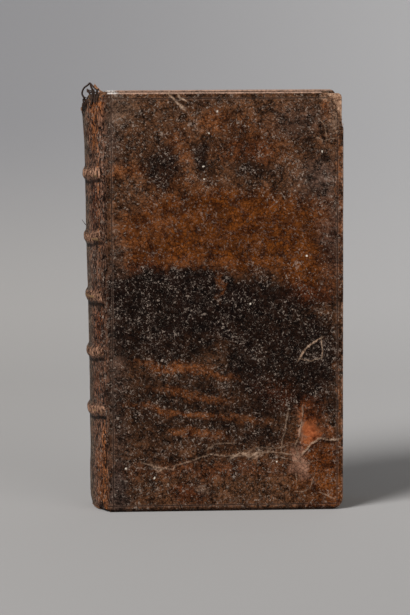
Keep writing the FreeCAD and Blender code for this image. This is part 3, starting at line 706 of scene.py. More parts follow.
def makeLeafEdges():
    # the cut edges of the leaves: long thin lines, gatherings, dust at the head
    material = newMaterial("leafEdges")
    place = objectPlace()
    axes = split(place)
    head = book["coverHeight"] - book["square"]
    across = plus(axes[1], centred(cloud(place, 0.03, 2.0), 1.2))
    flat = node("ShaderNodeCombineXYZ", {0: times(axes[0], 0.03), 1: across, 2: times(axes[2], 0.03)}).outputs[0]
    leafLines = cloud(flat, 6.5, 3.0, 0.75)
    stains = cloud(place, 0.07, 5.0, 0.6, 0.5)
    share = plus(stretch(leafLines, 0.32, 0.68, 0.0, 0.68), stretch(stains, 0.3, 0.7, 0.0, 0.32))
    colour = toneMix(share, tones["leafEdge"])
    gaps = stretch(cloud(flat, 0.75, 2.0, 0.5), 0.37, 0.33)
    colour = mark(colour, gaps, "leafGaps")
    colour = mark(colour, stretch(axes[2], head - 1.0, head - 0.1), "headDust")
    colour = mark(colour, useGroup(flecks, Place=place, Scale=0.5, Amount=0.4), "leafSpots")
    finishMaterial(colour, 0.92, minus(leafLines, times(gaps, 0.6)), 0.35, 0.2)
    return material


def makePasteboard():
    # worn grey-tan board: short fibres, dirt and paler torn layers
    material = newMaterial("wornPasteboard")
    place = objectPlace()
    fibres = cloud(vectorMaths("MULTIPLY", place, (0.7, 3.0, 0.7)), 1.3, 6.0, 0.75, 0.8)
    colour = toneMix(stretch(fibres, 0.36, 0.64), tones["board"])
    colour = mark(colour, stretch(cloud(place, 0.5, 4.0, 0.65), 0.52, 0.66, 0.0, 0.7), "boardDirt")
    colour = mark(colour, useGroup(curlLines, Place=place, Scale=0.9, Width=0.03), "boardThreads")
    finishMaterial(colour, 0.92, fibres, 0.4, 0.2)
    return material


calf = makeCalf()
pasteboard = makePasteboard()
leafEdges = makeLeafEdges()
# Plain fibrous materials: the pair of tones, and the scale of the fibres
fleshSide = makePlainFibre("fleshSide", ((66, 40, 24), (132, 88, 58)), 0.9)
darkShred = makePlainFibre("darkShred", ((16, 9, 6), (66, 44, 32)), 2.2)
tanShred = makePlainFibre("tanShred", ((70, 42, 26), (160, 116, 84)), 2.6)
endbandSilk = makePlainFibre("endbandSilk", ((36, 24, 15), (112, 84, 56)), 3.0)
slotMaterials = {
    "leaves": leafEdges,
    "endpaper": makeEndpaper(),
    "pasteboard": pasteboard,
    "lining_paper": makePlainFibre("liningPaper", ((40, 26, 16), (92, 66, 42)), 0.8),
    "hemp_cord": makePlainFibre("hempCord", ((74, 52, 32), (140, 108, 72)), 2.4),
    "endband_silk": endbandSilk,
}
for row in frame["record"]["subparts"]:
    if row["material_slot"] in slotMaterials:
        cadMesh = bpy.data.objects[row["node"]].data
        cadMesh.materials.clear()
        cadMesh.materials.append(slotMaterials[row["material_slot"]])
print("materials made")

skin = {
    "seam": -6.6,          # along the skin from the joint, where the cover's piece meets the spine's
    "edgeRound": 0.7,
    "wrapStart": 1.0,      # the edges are wrapped from here to the fore-edge
    "thickness": 0.62,
    "spineThickness": 0.5,
    "tearRoot": 152.0,     # rows above this bend to the torn head
    "footRoot": 9.0,
    "bandRise": 1.05,
    "bandTilt": (1.0, 1.5, 0.3, 0.9, 0.9),    # how far each band climbs towards the joint
}
# Torn head of the spine: share of the half thickness, depth below the cover's head in mm
tornHead = [(-1.0, 2.2), (-0.92, 2.6), (-0.82, 2.1), (-0.70, 3.6), (-0.58, 2.7), (-0.46, 4.8), (-0.33, 3.6),
            (-0.20, 6.4), (-0.06, 4.6), (0.10, 7.2), (0.26, 5.6), (0.42, 7.4), (0.60, 5.0), (0.78, 5.6),
            (1.0, 3.4)]


def leanAt(z):
    return (book["coverHeight"] / 2 - z) * book["lean"]


def profile(s, z):
    # place across the book at s along the skin: X, and distance from the middle
    turned = -book["land"] - s
    if turned > 0:
        angle = halfArc - turned / book["arcRadius"]
        return (arcCentre + leanAt(z) - book["arcRadius"] * math.cos(angle), book["arcRadius"] * math.sin(angle))
    return book["jointX"] + s + leanAt(z) * (1 - rise(-book["land"], 3.2, s)), book["face"]


def bandLevels(s):
    share = rise(-11.0, -3.0, s)
    return [level + tilt * share for level, tilt in zip(book["bandLevels"], skin["bandTilt"])]


def bandShade(s, z):
    # painted shade in the angles at the feet of the raised bands, most under them
    level = min(bandLevels(s), key=lambda one: abs(one - z))
    shadeBelow = math.exp(-((level - z - 3.3) / 1.0) ** 2)
    above = math.exp(-((z - level - 3.0) / 0.6) ** 2)
    return max(shadeBelow, 0.6 * above)


def jointWearAt(s, z):
    # the skin is worn to its fibres beside the joint, most at head and foot
    upper = math.exp(-((s + 5.6) / 1.5) ** 2) * (0.25 + 0.75 * rise(140.0, 150.0, z))
    line = 0.7 * math.exp(-((s + 3.1) / 0.9) ** 2) * (0.6 + 0.4 * rise(60.0, 120.0, z))
    lower = math.exp(-((s + 2.6) / 2.0) ** 2) * rise(48.0, 26.0, z)
    return max(upper, line, lower)


def headFlare(s, z):
    # the torn head of the spine stands off the leaves, in mm
    return 0.75 * rise(146.0, 166.0, z) * rise(-5.0, -12.0, s)


def footSwell(s, z):
    # the spine is a little fuller near the tail and slacker in the middle, in mm
    return (0.35 * rise(26.0, 14.0, z) - 0.2 * rise(104.0, 88.0, z) * rise(34.0, 46.0, z)) * rise(-3.0, -8.0, s)


# painted shade on the spine's skin under its torn head, where the leather stands off the leaves
def headGapShade(s, z):
    return rise(160.5, 163.5, z) * rise(-9.0, -12.0, s)


def bandHeight(s, z):
    height = 0.0
    for level in bandLevels(s):
        share = abs(z - level) / 2.9
        if share < 1.5:
            height = max(height, math.exp(-(share / 0.74) ** 4))
    return height


def skinPlace(side, s, z):
    # a point of the outer face, and the way out of it, with the joint's crease and the bands
    spread = 0.7
    tuck = 0.8 * rise(7.5, 0.5, z) ** 2 * rise(-2.5, -7.0, s)    # the tail is rubbed round
    if s > 4:
        x, y = profile(s, z)
        outX, outY = 0.0, 1.0
    else:
        samples = [profile(s + spread * k / 2, z) for k in (-2, -1, 0, 1, 2)]
        x = sum(p[0] for p in samples) / 5
        y = sum(p[1] for p in samples) / 5
        tx, ty = samples[4][0] - samples[0][0], samples[4][1] - samples[0][1]
        length = math.hypot(tx, ty)
        outX, outY = -ty / length, tx / length
        band = bandHeight(s, z) * skin["bandRise"] * (1 - rise(-3.2, -0.2, s))
        band *= 1 + 0.16 * grain(x, side * y, z, 4.0)
        band += headFlare(s, z) - tuck + footSwell(s, z)
        x += outX * band
        y = min(y + outY * band, book["face"] + 0.1)
    return Vector((x, side * y, z)), Vector((outX, side * outY, 0))


def headLimit(side, s, y):
    # the top of the sheet at s, where the sheet is torn on the spine
    torn = book["coverHeight"] - between(tornHead, side * min(1.0, y / book["face"]))
    torn += 0.8 * grain(s * 2.0, side * 3.0, 5.0, 1.6)
    whole = book["coverHeight"] - skin["edgeRound"]
    return torn + (whole - torn) * rise(-2.2, -0.7, s)


def footLimit(s):
    return 1.3 + (skin["edgeRound"] - 1.3) * rise(-1.6, 1.0, s)


def rowHeight(side, s, y, z):
    # moves a row of the sheet between the foot and the torn head
    root = skin["tearRoot"]
    if z > root:
        full = book["coverHeight"] - skin["edgeRound"]
        return root + (z - root) * (headLimit(side, s, y) - root) / (full - root)
    if z < skin["footRoot"]:
        low = skin["edgeRound"]
        limit = footLimit(s)
        return skin["footRoot"] - (skin["footRoot"] - z) * (skin["footRoot"] - limit) / (skin["footRoot"] - low)
    return z


def roundCorner(x, z, inset):
    # moves a point near a fore corner of the cover on to its round; x from the joint
    for radius, atHead in ((book["headCorner"], True), (book["footCorner"], False)):
        r = radius - inset
        if r <= 0.05:
            continue
        cx = book["coverWidth"] - inset - r
        cz = book["coverHeight"] - inset - r if atHead else inset + r
        a = (x - cx) / r
        b = (z - cz) / r if atHead else (cz - z) / r
        if a > 0 and b > 0:
            na = a * math.sqrt(max(0.0, 1 - b * b / 2))
            nb = b * math.sqrt(max(0.0, 1 - a * a / 2))
            x = cx + na * r
            z = cz + nb * r if atHead else cz - nb * r
    return x, z


def wrapPlace(side, s, z, inset, depth):
    # a point of the wrapped edge and turn-in, for a border point (s, z) of the sheet
    base = skin["edgeRound"]
    start = skin["wrapStart"]
    height, width = book["coverHeight"], book["coverWidth"]
    newZ = inset + (z - base) * (height - 2 * inset) / (height - 2 * base)
    newS = start + (s - start) * (width - inset - start) / (width - base - start)
    newS, newZ = roundCorner(newS, newZ, inset)
    return Vector((book["jointX"] + newS, side * (book["face"] - depth), newZ))


# Damage of the front cover, in mm from the joint line and from the foot
damage = {
    "lostCorner": [(87.0, 170.0), (87.6, 168.6), (88.6, 168.9), (89.6, 167.2), (91.4, 167.6), (91.9, 165.6),
                   (93.0, 164.6), (92.8, 162.4), (94.0, 161.6), (93.9, 159.4), (94.9, 158.6), (95.1, 156.6),
                   (96.0, 155.6)],
    "scar": [(87.5, 36.3), (85.9, 42.7), (83.3, 43.5), (81.7, 39.7), (80.8, 35.1), (78.5, 25.6),
             (79.3, 24.5), (82.1, 29.1), (84.2, 31.0), (87.0, 32.9)],
    "lips": [
        [(79.3, 23.0), (82.4, 26.6), (86.5, 29.6), (90.2, 28.8), (93.5, 29.2)],
        [(79.5, 42.5), (79.2, 38.0), (77.9, 29.8), (76.3, 26.2), (77.5, 22.8)],
        [(73.6, 41.0), (72.2, 32.3), (71.3, 30.0), (70.5, 23.3)],
    ],
    "crease": [(14.0, 20.4), (19.8, 18.4), (26.8, 17.2), (27.6, 18.9), (34.2, 20.8), (41.5, 23.3),
               (49.2, 22.5), (54.5, 22.5), (59.0, 23.3), (64.0, 24.1), (69.7, 23.7), (76.2, 22.5)],
}
lostOutline = damage["lostCorner"] + [(97.0, 155.6), (97.0, 171.0), (87.0, 171.0)]    # closed outside the corner


def frontRelief(s, z):
    # height in mm over the plain skin
    height = 0.0
    if s > 60 and 15 < z < 50:
        gap, _ = lineGap(s, z, damage["scar"] + damage["scar"][:1])
        signed = -gap if inside(s, z, damage["scar"]) else gap
        height -= 0.32 * rise(0.3, -0.5, signed)
        for line in damage["lips"]:
            height += 0.32 * math.exp(-(lineGap(s, z, line)[0] / 0.55) ** 2)
    if 10 < z < 30:
        gap, _ = lineGap(s, z, damage["crease"])
        lift = math.exp(-(gap / 0.5) ** 2) * (0.6 + 0.4 * grain(s, 0, z, 3.0))
        height += 0.3 * lift
    return height


def commonRelief(place, s, z, inset):
    # gentle waves, shallow pits and the ruled line
    height = 0.10 * grain(place.x, place.y, place.z, 16.0) + 0.05 * grain(place.x, place.y, place.z, 3.2)
    pit = grain(place.x + 31, place.y, place.z, 1.5, 2)
    height -= 0.10 * rise(0.25, 0.6, pit)
    edge = min(book["coverWidth"] - s, z, book["coverHeight"] - z)
    if s > 0.5 and inset is None:
        gap = min(abs(edge - ruled["inset"]), abs(s - ruled["inset"]) if s < 6 else 9.0)
        height -= ruled["depth"] * math.exp(-(gap / ruled["grooveHalf"]) ** 2) * (0.6 + 0.4 * grain(s, 0, z, 9.0))
    return height, edge


def addSkinData(mesh, values):
    rest = mesh.attributes.new("restPlace", "FLOAT_VECTOR", "POINT")
    rest.data.foreach_set("vector", [c for v in mesh.vertices for c in (v.co / mm)])
    for name, numbers in values.items():
        mesh.attributes.new(name, "FLOAT", "POINT").data.foreach_set("value", numbers)


def keepOffFloor(piece):
    for vertex in piece.data.vertices:
        vertex.co.z = max(vertex.co.z, 0.01 * mm)


def coverColumns():
    return linesAt([(skin["seam"], 0.6), (-1.0, 0.28), (1.0, 0.3), (1.9, 0.2), (3.1, 0.9), (66.0, 0.6),
                    (92.9, 0.2), (94.1, 0.4), (95.3, 1)])


def skinRows():
    return linesAt([(0.7, 0.4), (1.9, 0.2), (3.1, 0.8), (14.0, 0.6), (46.0, 0.9), (158.0, 0.7), (166.9, 0.2),
                    (168.1, 0.4), (169.3, 1)])


# The edge from the face round to the inside: inset from the cover's outline, depth below its face
wrapSteps = [(0.35, 0.09), (0.09, 0.35), (0.0, 0.7), (0.0, 1.25), (0.0, 1.8), (0.0, 2.35), (0.0, 2.9),
             (0.08, 3.3), (0.26, 3.52), (0.6, 3.6), (1.6, 3.6), (2.6, 3.6), (3.6, 3.6), (4.6, 3.6),
             (5.8, 3.6), (8.5, 3.6), (12.6, 3.6)]


def extrudeEdges(bm, edges):
    made = bmesh.ops.extrude_edge_only(bm, edges=edges)["geom"]
    fresh = {v for v in made if isinstance(v, bmesh.types.BMVert)}
    return fresh, [e for e in made if isinstance(e, bmesh.types.BMEdge) and all(v in fresh for v in e.verts)]


def capTail(bm, layerS, layerZ, side):
    # turns the spine's foot in under the tail endband
    steps = [(0.30, 0.50), (0.85, 0.15), (1.6, 0.0), (2.4, 0.0), (3.2, 0.05)]
    lowest = min(v[layerZ] for v in bm.verts)
    edges = [e for e in bm.edges if e.is_boundary
             and all(abs(v[layerZ] - lowest) < 0.01 and v[layerS] < -0.9 for v in e.verts)]
    starts = {}
    for inward, up in steps:
        fresh, edges = extrudeEdges(bm, edges)
        for v in fresh:
            key = round(v[layerS], 3)
            if key not in starts:
                starts[key] = (v.co.copy(), skinPlace(side(v), v[layerS], 1.0)[1])
            origin, out = starts[key]
            v.co = origin - out * inward * mm + Vector((0, 0, (up - 0.85) * mm))


def newSheet(columns, rows, layerNames):
    # a grid with its lines at the given places, and where each vertex lies on it
    bm = bmesh.new()
    bmesh.ops.create_grid(bm, x_segments=len(columns) - 1, y_segments=len(rows) - 1, size=1.0)
    layers = [bm.verts.layers.float.new(name) for name in layerNames]

    def nearest(lines, at):
        return lines[round((at + 1) / 2 * (len(lines) - 1))]
    return bm, layers, [(v, nearest(columns, v.co.x), nearest(rows, v.co.y)) for v in bm.verts]


def faceOutward(bm, outness):
    # outness tells how far a face points out
    bmesh.ops.recalc_face_normals(bm, faces=bm.faces[:])
    bm.normal_update()
    if sum(outness(f) for f in bm.faces) < 0:
        bmesh.ops.reverse_faces(bm, faces=bm.faces[:])
        bm.normal_update()


def cutCorner(bm):
    # takes the skin off the worn head corner, along its torn line
    lost = damage["lostCorner"]
    for v in bm.verts:
        s, z = v.co.x / mm - book["jointX"], v.co.z / mm
        gap, along = lineGap(s, z, lost)
        if gap < 0.35:
            i = min(int(along * (len(lost) - 1)), len(lost) - 2)
            t = along * (len(lost) - 1) - i
            v.co.x = (book["jointX"] + lost[i][0] + t * (lost[i + 1][0] - lost[i][0])) * mm
            v.co.z = (lost[i][1] + t * (lost[i + 1][1] - lost[i][1])) * mm
    middles = [(f, f.calc_center_median()) for f in bm.faces]
    gone = [f for f, middle in middles if inside(middle.x / mm - book["jointX"], middle.z / mm, lostOutline)]
    bmesh.ops.delete(bm, geom=gone, context="FACES")
    bmesh.ops.delete(bm, geom=[v for v in bm.verts if not v.link_faces], context="VERTS")


def finishSkin(name, bm, moves, values, thickness):
    # moves the vertices, and gives the sheet its thickness inwards
    for v, co in zip(bm.verts, moves):
        v.co = co
    piece = makePiece(name, bm, [calf, fleshSide])
    addSkinData(piece.data, values)
    wall = piece.modifiers.new("thickness", "SOLIDIFY")
    wall.thickness = thickness * mm
    wall.offset = -1
    wall.material_offset = 1
    wall.material_offset_rim = 1
    applyModifiers(piece)
    keepOffFloor(piece)
    print(name, "made:", len(piece.data.polygons), "faces")
    return piece


def makeCoverSkin(side, name, damaged, nodeName):
    columns, rows = coverColumns(), skinRows()
    bm, (layerS, layerZ, layerInset), places = newSheet(columns, rows, ("sheetS", "sheetZ", "inset"))
    for v, s, z in places:
        v[layerS], v[layerZ], v[layerInset] = s, z, -1.0
        place, _ = skinPlace(side, s, z)
        height = rowHeight(side, s, abs(place.y), z)
        if s > 80:
            across, height = roundCorner(s, height, skin["edgeRound"])
            place.x = book["jointX"] + across
        elif s < 4:
            place, _ = skinPlace(side, s, height)
        place.z = height
        v.co = place * mm
    borders = ((layerZ, rows[0]), (layerZ, rows[-1]), (layerS, columns[-1]))
    edges = [e for e in bm.edges if e.is_boundary
             and all(v[layerS] >= skin["wrapStart"] - 0.01 for v in e.verts)
             and any(all(abs(v[layer] - at) < 0.01 for v in e.verts) for layer, at in borders)]
    for inset, depth in wrapSteps:
        fresh, edges = extrudeEdges(bm, edges)
        for v in fresh:
            v.co = wrapPlace(side, v[layerS], v[layerZ], inset, depth) * mm
            v[layerInset] = inset
    capTail(bm, layerS, layerZ, lambda v: side)
    if damaged:
        cutCorner(bm)
    face = (book["face"] - 0.1) * mm
    faceOutward(bm, lambda f: f.normal.y * side if f.calc_center_median().y * side > face else 0)
    values = {"wear": [], "joint": [], "recessShade": []}
    moves = []
    for v in bm.verts:
        place = v.co / mm
        s, z = v[layerS], place.z
        inset = None if v[layerInset] < 0 else v[layerInset]
        height, edge = commonRelief(place, s, z, inset)
        if inset is None:
            if damaged and s > 4:
                height += frontRelief(s, z)
            rim = rise(1.3, 0.2, edge) if s > 1 else 0.0
            worn = 0.75 * rim + 0.15 * rim * grain(place.x, 0, z, 6.0)
            worn = max(worn, 0.95 * bandHeight(s, z) * rise(0.0, -2.2, s))
        else:
            worn = 0.75 if inset < 0.5 else 0.3
            height *= 0.5
        values["wear"].append(worn)
        values["joint"].append(jointWearAt(s, z) if inset is None else 0.0)
        values["recessShade"].append(bandShade(s, z) * rise(0.2, -1.4, s) if inset is None else 0.0)
        out = v.normal if s > 4 or inset is not None else skinPlace(side, s, z)[1]
        goal = v.co + out * height * mm
        goal.z = max(goal.z, 0.01 * mm)
        moves.append(goal)
    piece = finishSkin(name, bm, moves, values, skin["thickness"])
    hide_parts(nodeName)
    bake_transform(piece)


def makeSpineSkin():
    reach = skin["seam"] - crownS
    bm, (layerS, layerZ, layerSide), places = newSheet(linesAt([(-reach, 0.6), (reach, 1)]), skinRows(),
                                                       ("sheetS", "sheetZ", "side"))
    for v, across, z in places:
        side = front if across > 0 else rear
        s = crownS + abs(across)
        height = rowHeight(side, s, abs(skinPlace(side, s, z)[0].y), z)
        place, _ = skinPlace(side, s, height)
        place.z = height
        v[layerS], v[layerZ], v[layerSide] = s, z, side
        v.co = place * mm
    capTail(bm, layerS, layerZ, lambda v: int(v[layerSide]))
    faceOutward(bm, lambda f: -f.normal.x)
    values = {"wear": [], "joint": [], "recessShade": []}
    moves = []
    for v in bm.verts:
        place = v.co / mm
        s, z = v[layerS], place.z
        values["wear"].append(0.95 * bandHeight(s, z))
        values["joint"].append(jointWearAt(s, z))
        values["recessShade"].append(max(bandShade(s, z), headGapShade(s, z)))
        moves.append(v.co + skinPlace(int(v[layerSide]), s, z)[1] * commonRelief(place, s, z, None)[0] * mm)
    piece = finishSkin("spineSkin", bm, moves, values, skin["spineThickness"])
    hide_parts("spine_leather")
    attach(piece, spineBody)


leaves = {
    "face": 13.0,          # half the thickness of the leaves
    "backRadius": 25.55,
    "head": book["coverHeight"] - book["square"],
    "tail": book["square"],
    "foreX": 49.27,
    "shoulderX": -43.42856,
    "shoulderFace": 16.1,
    "columns": 116,
    "lengths": 70,
    "rowStep": 2.2,
    "unevenHead": 0.22,    # how far single leaves stand proud or back
    "unevenFore": 0.28,
}


def leafPlace(u, v, z):
    # across the leaves u is -1 to 1, from the back to the fore-edge v is 0 to 1
    shoulderV = 0.06
    y0 = u * leaves["shoulderFace"]
    y1 = u * leaves["face"]
    backX = arcCentre + leanAt(z) - math.sqrt(leaves["backRadius"] ** 2 - y0 * y0)
    if v <= shoulderV:
        share = v / shoulderV
        return Vector((backX + (leaves["shoulderX"] - 0.05 - backX) * share, y0, z))
    share = (v - shoulderV) / (1 - shoulderV)
    rimX = leaves["foreX"] - (math.sqrt(leaves["backRadius"] ** 2 - y1 * y1)
                              - math.sqrt(leaves["backRadius"] ** 2 - leaves["face"] ** 2))
    return Vector((leaves["shoulderX"] + (rimX - leaves["shoulderX"]) * share, y1, z))


def leafStep(y, seed):
    # leaves stand unevenly: whole gatherings, then single leaves
    gathering = noise.cell(Vector((y / 3.1 + 40, seed, 0.5))) - 0.5
    return 0.6 * gathering + 0.9 * grain(y, seed, 0, 0.55, 2)


def makeLeaves():
    bm = bmesh.new()
    layerU = bm.verts.layers.float.new("leafU")
    layerV = bm.verts.layers.float.new("leafV")

    def newLeafSheet(z):
        made = bmesh.ops.create_grid(bm, x_segments=leaves["columns"], y_segments=leaves["lengths"], size=1.0)
        for v in made["verts"]:
            v[layerU], v[layerV] = v.co.x, (v.co.y + 1) / 2
            v.co = leafPlace(v[layerU], v[layerV], z) * mm

    newLeafSheet(leaves["head"])
    edges = [e for e in bm.edges if e.is_boundary]
    for z in linesAt([(leaves["tail"], leaves["rowStep"]), (leaves["head"], 1)])[-2::-1]:
        fresh, edges = extrudeEdges(bm, edges)
        for v in fresh:
            v.co = leafPlace(v[layerU], v[layerV], z) * mm
    newLeafSheet(leaves["tail"])    # the foot, merged with the last row below
    bmesh.ops.remove_doubles(bm, verts=bm.verts[:], dist=0.001 * mm)
    bmesh.ops.recalc_face_normals(bm, faces=bm.faces[:])
    for v in bm.verts:
        u, along = v[layerU], v[layerV]
        place = v.co / mm
        inner = 1 - rise(0.97, 1.0, abs(u))
        if place.z > leaves["head"] - 0.01 or place.z < leaves["tail"] + 0.01:
            up = 1 if place.z > 80 else -1
            away = rise(0.0, 0.04, along)
            step = leaves["unevenHead"] * leafStep(place.y + 0.6 * grain(place.x, 0, up, 22.0), 3.0 + up)
            v.co.z -= up * (0.12 + abs(step)) * inner * away * mm
        if along > 0.999:
            step = leaves["unevenFore"] * leafStep(place.y + 0.5 * grain(0, 2, place.z, 30.0), 9.0)
            wave = 0.25 * grain(0, place.y * 0.4, place.z, 35.0)
            v.co.x -= (abs(step) + abs(wave)) * inner * mm
    piece = makePiece("sewnLeaves", bm, [leafEdges])
    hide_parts("text_block")
    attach(piece, spineBody)
    print("sewnLeaves made:", len(piece.data.polygons), "faces")


def smoothPoint(points, t):
    # a point on the smooth line through all points, t from 0 to 1
    place = t * (len(points) - 1)
    i = min(int(place), len(points) - 2)
    f = place - i
    p0, p1, p2, p3 = (points[min(max(j, 0), len(points) - 1)] for j in (i - 1, i, i + 1, i + 2))
    return 0.5 * (2 * p1 + (p2 - p0) * f + (2 * p0 - 5 * p1 + 4 * p2 - p3) * f ** 2
                  + (3 * p1 - p0 - 3 * p2 + p3) * f ** 3)


def headPlace(across, z, lift):
    # a point over the spine near its head, seen from the front: mm from the joint, height, distance off the skin
    across += 1.2 * rise(150.0, 160.0, z)
    dx = min(25.9, arcCentre + leanAt(z) - (book["jointX"] + across))
    radius = book["arcRadius"]
    y = min(17.3, math.sqrt(max(4.0, radius ** 2 - dx ** 2)))
    out = Vector((-dx, -y, 0)).normalized()
    return Vector((book["jointX"] + across, -y, z)) + out * lift


# Shreds of leather at the torn head: points as (mm from the joint, height, off the skin), width in mm
shreds = {
    "dark": [
        ([(-7.2, 164.5, -0.4), (-6.3, 168.0, -0.6), (-5.9, 170.8, -0.3), (-6.7, 173.2, 0.2)], 1.3),
        ([(-5.4, 165.5, -0.3), (-4.9, 168.6, -0.5), (-4.2, 170.6, 0.0), (-3.3, 171.6, 0.4)], 1.6),
        ([(-8.0, 170.6, 0.2), (-6.8, 170.0, -0.2), (-5.6, 170.5, 0.0), (-4.4, 170.0, 0.2)], 1.1),
        ([(-8.4, 162.0, -0.5), (-9.0, 164.6, 0.0), (-9.2, 166.6, 0.3), (-8.6, 168.2, 0.2)], 2.0),
        ([(-9.6, 160.5, 0.0), (-9.8, 163.0, 0.2), (-9.5, 165.4, 0.3)], 1.6),
        ([(-6.6, 163.8, 0.2), (-7.6, 166.6, 0.5), (-7.3, 168.6, 0.3)], 1.2),
        ([(-3.6, 166.0, -0.2), (-3.4, 168.4, -0.2), (-4.6, 170.4, 0.1)], 1.2),
        ([(-6.6, 165.5, 0.1), (-5.9, 168.0, 0.4), (-5.6, 170.6, 0.3)], 2.6),
        ([(-5.2, 166.0, 0.2), (-4.7, 168.4, 0.5), (-5.3, 171.4, 0.2)], 2.4),
        ([(-4.4, 166.4, 0.3), (-3.8, 168.6, 0.3), (-2.8, 170.0, 0.3)], 1.9),
        ([(-6.2, 168.6, 0.3), (-7.1, 170.2, 0.4), (-7.7, 171.4, 0.5)], 1.4),
        ([(-5.6, 169.6, 0.1), (-6.2, 171.8, 0.2), (-7.0, 173.9, 0.2)], 1.1),
    ],
    "tan": [
        ([(-5.1, 173.2, 0.2), (-4.2, 172.0, 0.1), (-3.2, 170.9, 0.0), (-1.8, 170.1, 0.0), (-0.6, 169.6, 0.0)], 1.4),
        ([(-10.0, 162.6, 0.4), (-9.9, 164.0, 0.5)], 1.0),
        ([(-3.2, 168.2, 0.1), (-2.2, 169.2, 0.1), (-1.2, 169.7, 0.0)], 1.0),
        ([(-7.4, 163.8, 0.2), (-6.8, 165.2, 0.3), (-6.5, 166.8, 0.3)], 0.7),
    ],
}

# Loose threads: points in the same way, then thickness at the two ends in mm
threads = [
    ([(-8.6, 164.8, 0.0), (-8.5, 166.4, 0.3), (-8.8, 167.8, 0.5), (-9.6, 169.2, 0.7), (-9.2, 171.0, 0.6),
      (-8.5, 172.1, 0.5), (-7.4, 172.9, 0.4), (-6.8, 174.0, 0.3), (-6.0, 172.9, 0.2), (-5.2, 171.9, 0.1),
      (-4.3, 171.1, 0.1), (-3.8, 170.0, 0.2), (-4.3, 168.7, 0.2)], 0.85, 0.6),
    ([(-7.6, 171.0, 0.3), (-6.4, 170.9, 0.3), (-5.2, 170.2, 0.2)], 0.5, 0.4),
    ([(-8.9, 165.6, 0.2), (-9.8, 166.8, 0.5), (-8.2, 168.2, 0.6), (-7.4, 167.4, 0.4)], 0.5, 0.3),
    ([(-9.4, 162.4, 0.3), (-10.0, 164.0, 0.5), (-9.4, 165.8, 0.5)], 0.5, 0.2),
    ([(-7.9, 116.4, -0.1), (-8.4, 117.4, 0.3), (-8.6, 118.6, 0.8)], 0.3, 0.12),
    ([(-7.4, 152.0, 0.3), (-7.0, 155.0, 0.5), (-7.3, 157.6, 0.6)], 0.22, 0.1),
    ([(-5.0, 158.0, 0.3), (-4.5, 161.0, 0.5), (-4.9, 163.4, 0.4)], 0.25, 0.1),
]


def makeShreds(name, strips, material):
    bm = bmesh.new()
    for number, (points, width) in enumerate(strips):
        path = [headPlace(*point) for point in points]
        for v in bmesh.ops.create_grid(bm, x_segments=4, y_segments=14, size=1.0)["verts"]:
            u, t = v.co.x, (v.co.y + 1) / 2
            middle = smoothPoint(path, t)
            along = smoothPoint(path, min(1.0, t + 0.02)) - smoothPoint(path, max(0.0, t - 0.02))
            out = Vector((middle.x - arcCentre, middle.y, 0)).normalized()
            sideways = along.cross(out).normalized()
            ragged = 0.8 + 0.5 * grain(t * 6, number * 7, u * 1.5, 1.0)
            wide = width / 2 * (1 - 0.6 * t) * ragged
            curl = 0.25 * u * u + 0.2 * grain(t * 4, u, number, 1.0)
            v.co = (middle + sideways * u * wide + out * curl) * mm
    bmesh.ops.recalc_face_normals(bm, faces=bm.faces[:])
    piece = makePiece(name, bm, [material])
    shell = piece.modifiers.new("thickness", "SOLIDIFY")
    shell.thickness = 0.3 * mm
    shell.offset = 0
    rounded = piece.modifiers.new("rounded", "SUBSURF")
    rounded.levels = rounded.render_levels = 1
    applyModifiers(piece)
    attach(piece, spineBody)


def makeStrands(name, strands, material, sides=2, along=5):
    # thin round threads along smooth lines, as one mesh
    curve = bpy.data.curves.new(name, "CURVE")
    curve.dimensions = "3D"
    curve.bevel_depth = 1 * mm
    curve.bevel_resolution = sides
    curve.resolution_u = along
    curve.use_fill_caps = True
    for points, thick, thin in strands:
        spline = curve.splines.new("NURBS")
        spline.points.add(len(points) - 1)
        for i, (point, place) in enumerate(zip(spline.points, points)):
            share = i / (len(points) - 1)
            point.co = (*(place * mm), 1.0)
            point.radius = (thick + (thin - thick) * share) / 2
        spline.order_u = 3
        spline.use_endpoint_u = True
    draft = bpy.data.objects.new(name + "Draft", curve)
    bpy.context.scene.collection.objects.link(draft)
    mesh = finalMesh(draft)
    bpy.data.objects.remove(draft)
    piece = showMesh(name, mesh, [material])
    return piece


endband = {"radius": 24.35, "halfWidth": 11.8, "coil": 0.70, "thread": 0.32, "spacing": 0.36, "pointsPerTurn": 9}


def makeEndband(name, z, nodeName):
    # silk wound round the core, turn beside turn
    halfAngle = math.asin(endband["halfWidth"] / endband["radius"])
    length = 2 * halfAngle * endband["radius"]
    turns = int(length / endband["spacing"])
    count = turns * endband["pointsPerTurn"]
    points = []
    for i in range(count + 1):
        angle = halfAngle * (2 * i / count - 1)
        turn = 2 * math.pi * i / endband["pointsPerTurn"]
        reach = endband["radius"] + endband["coil"] * math.cos(turn)
        points.append(Vector((arcCentre + leanAt(z) - reach * math.cos(angle), reach * math.sin(angle),
                              z + endband["coil"] * math.sin(turn))))
    piece = makeStrands(name, [(points, endband["thread"], endband["thread"])], endbandSilk, 1, 2)
    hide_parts(nodeName)
    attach(piece, spineBody)


# The laid-open head corner of the front board, in mm
wornBoard = {
    "left": 84.5,
    "low": 153.5,
    "face": 16.6,          # from the middle of the leaves
    "inset": 0.78,
    "spacing": 0.22,
    "layer": 0.42,         # thickness of a lifting layer
    "steps": (0.3, 0.7, 1.1, 1.5, 1.9),    # depths of the rows over its edge
}


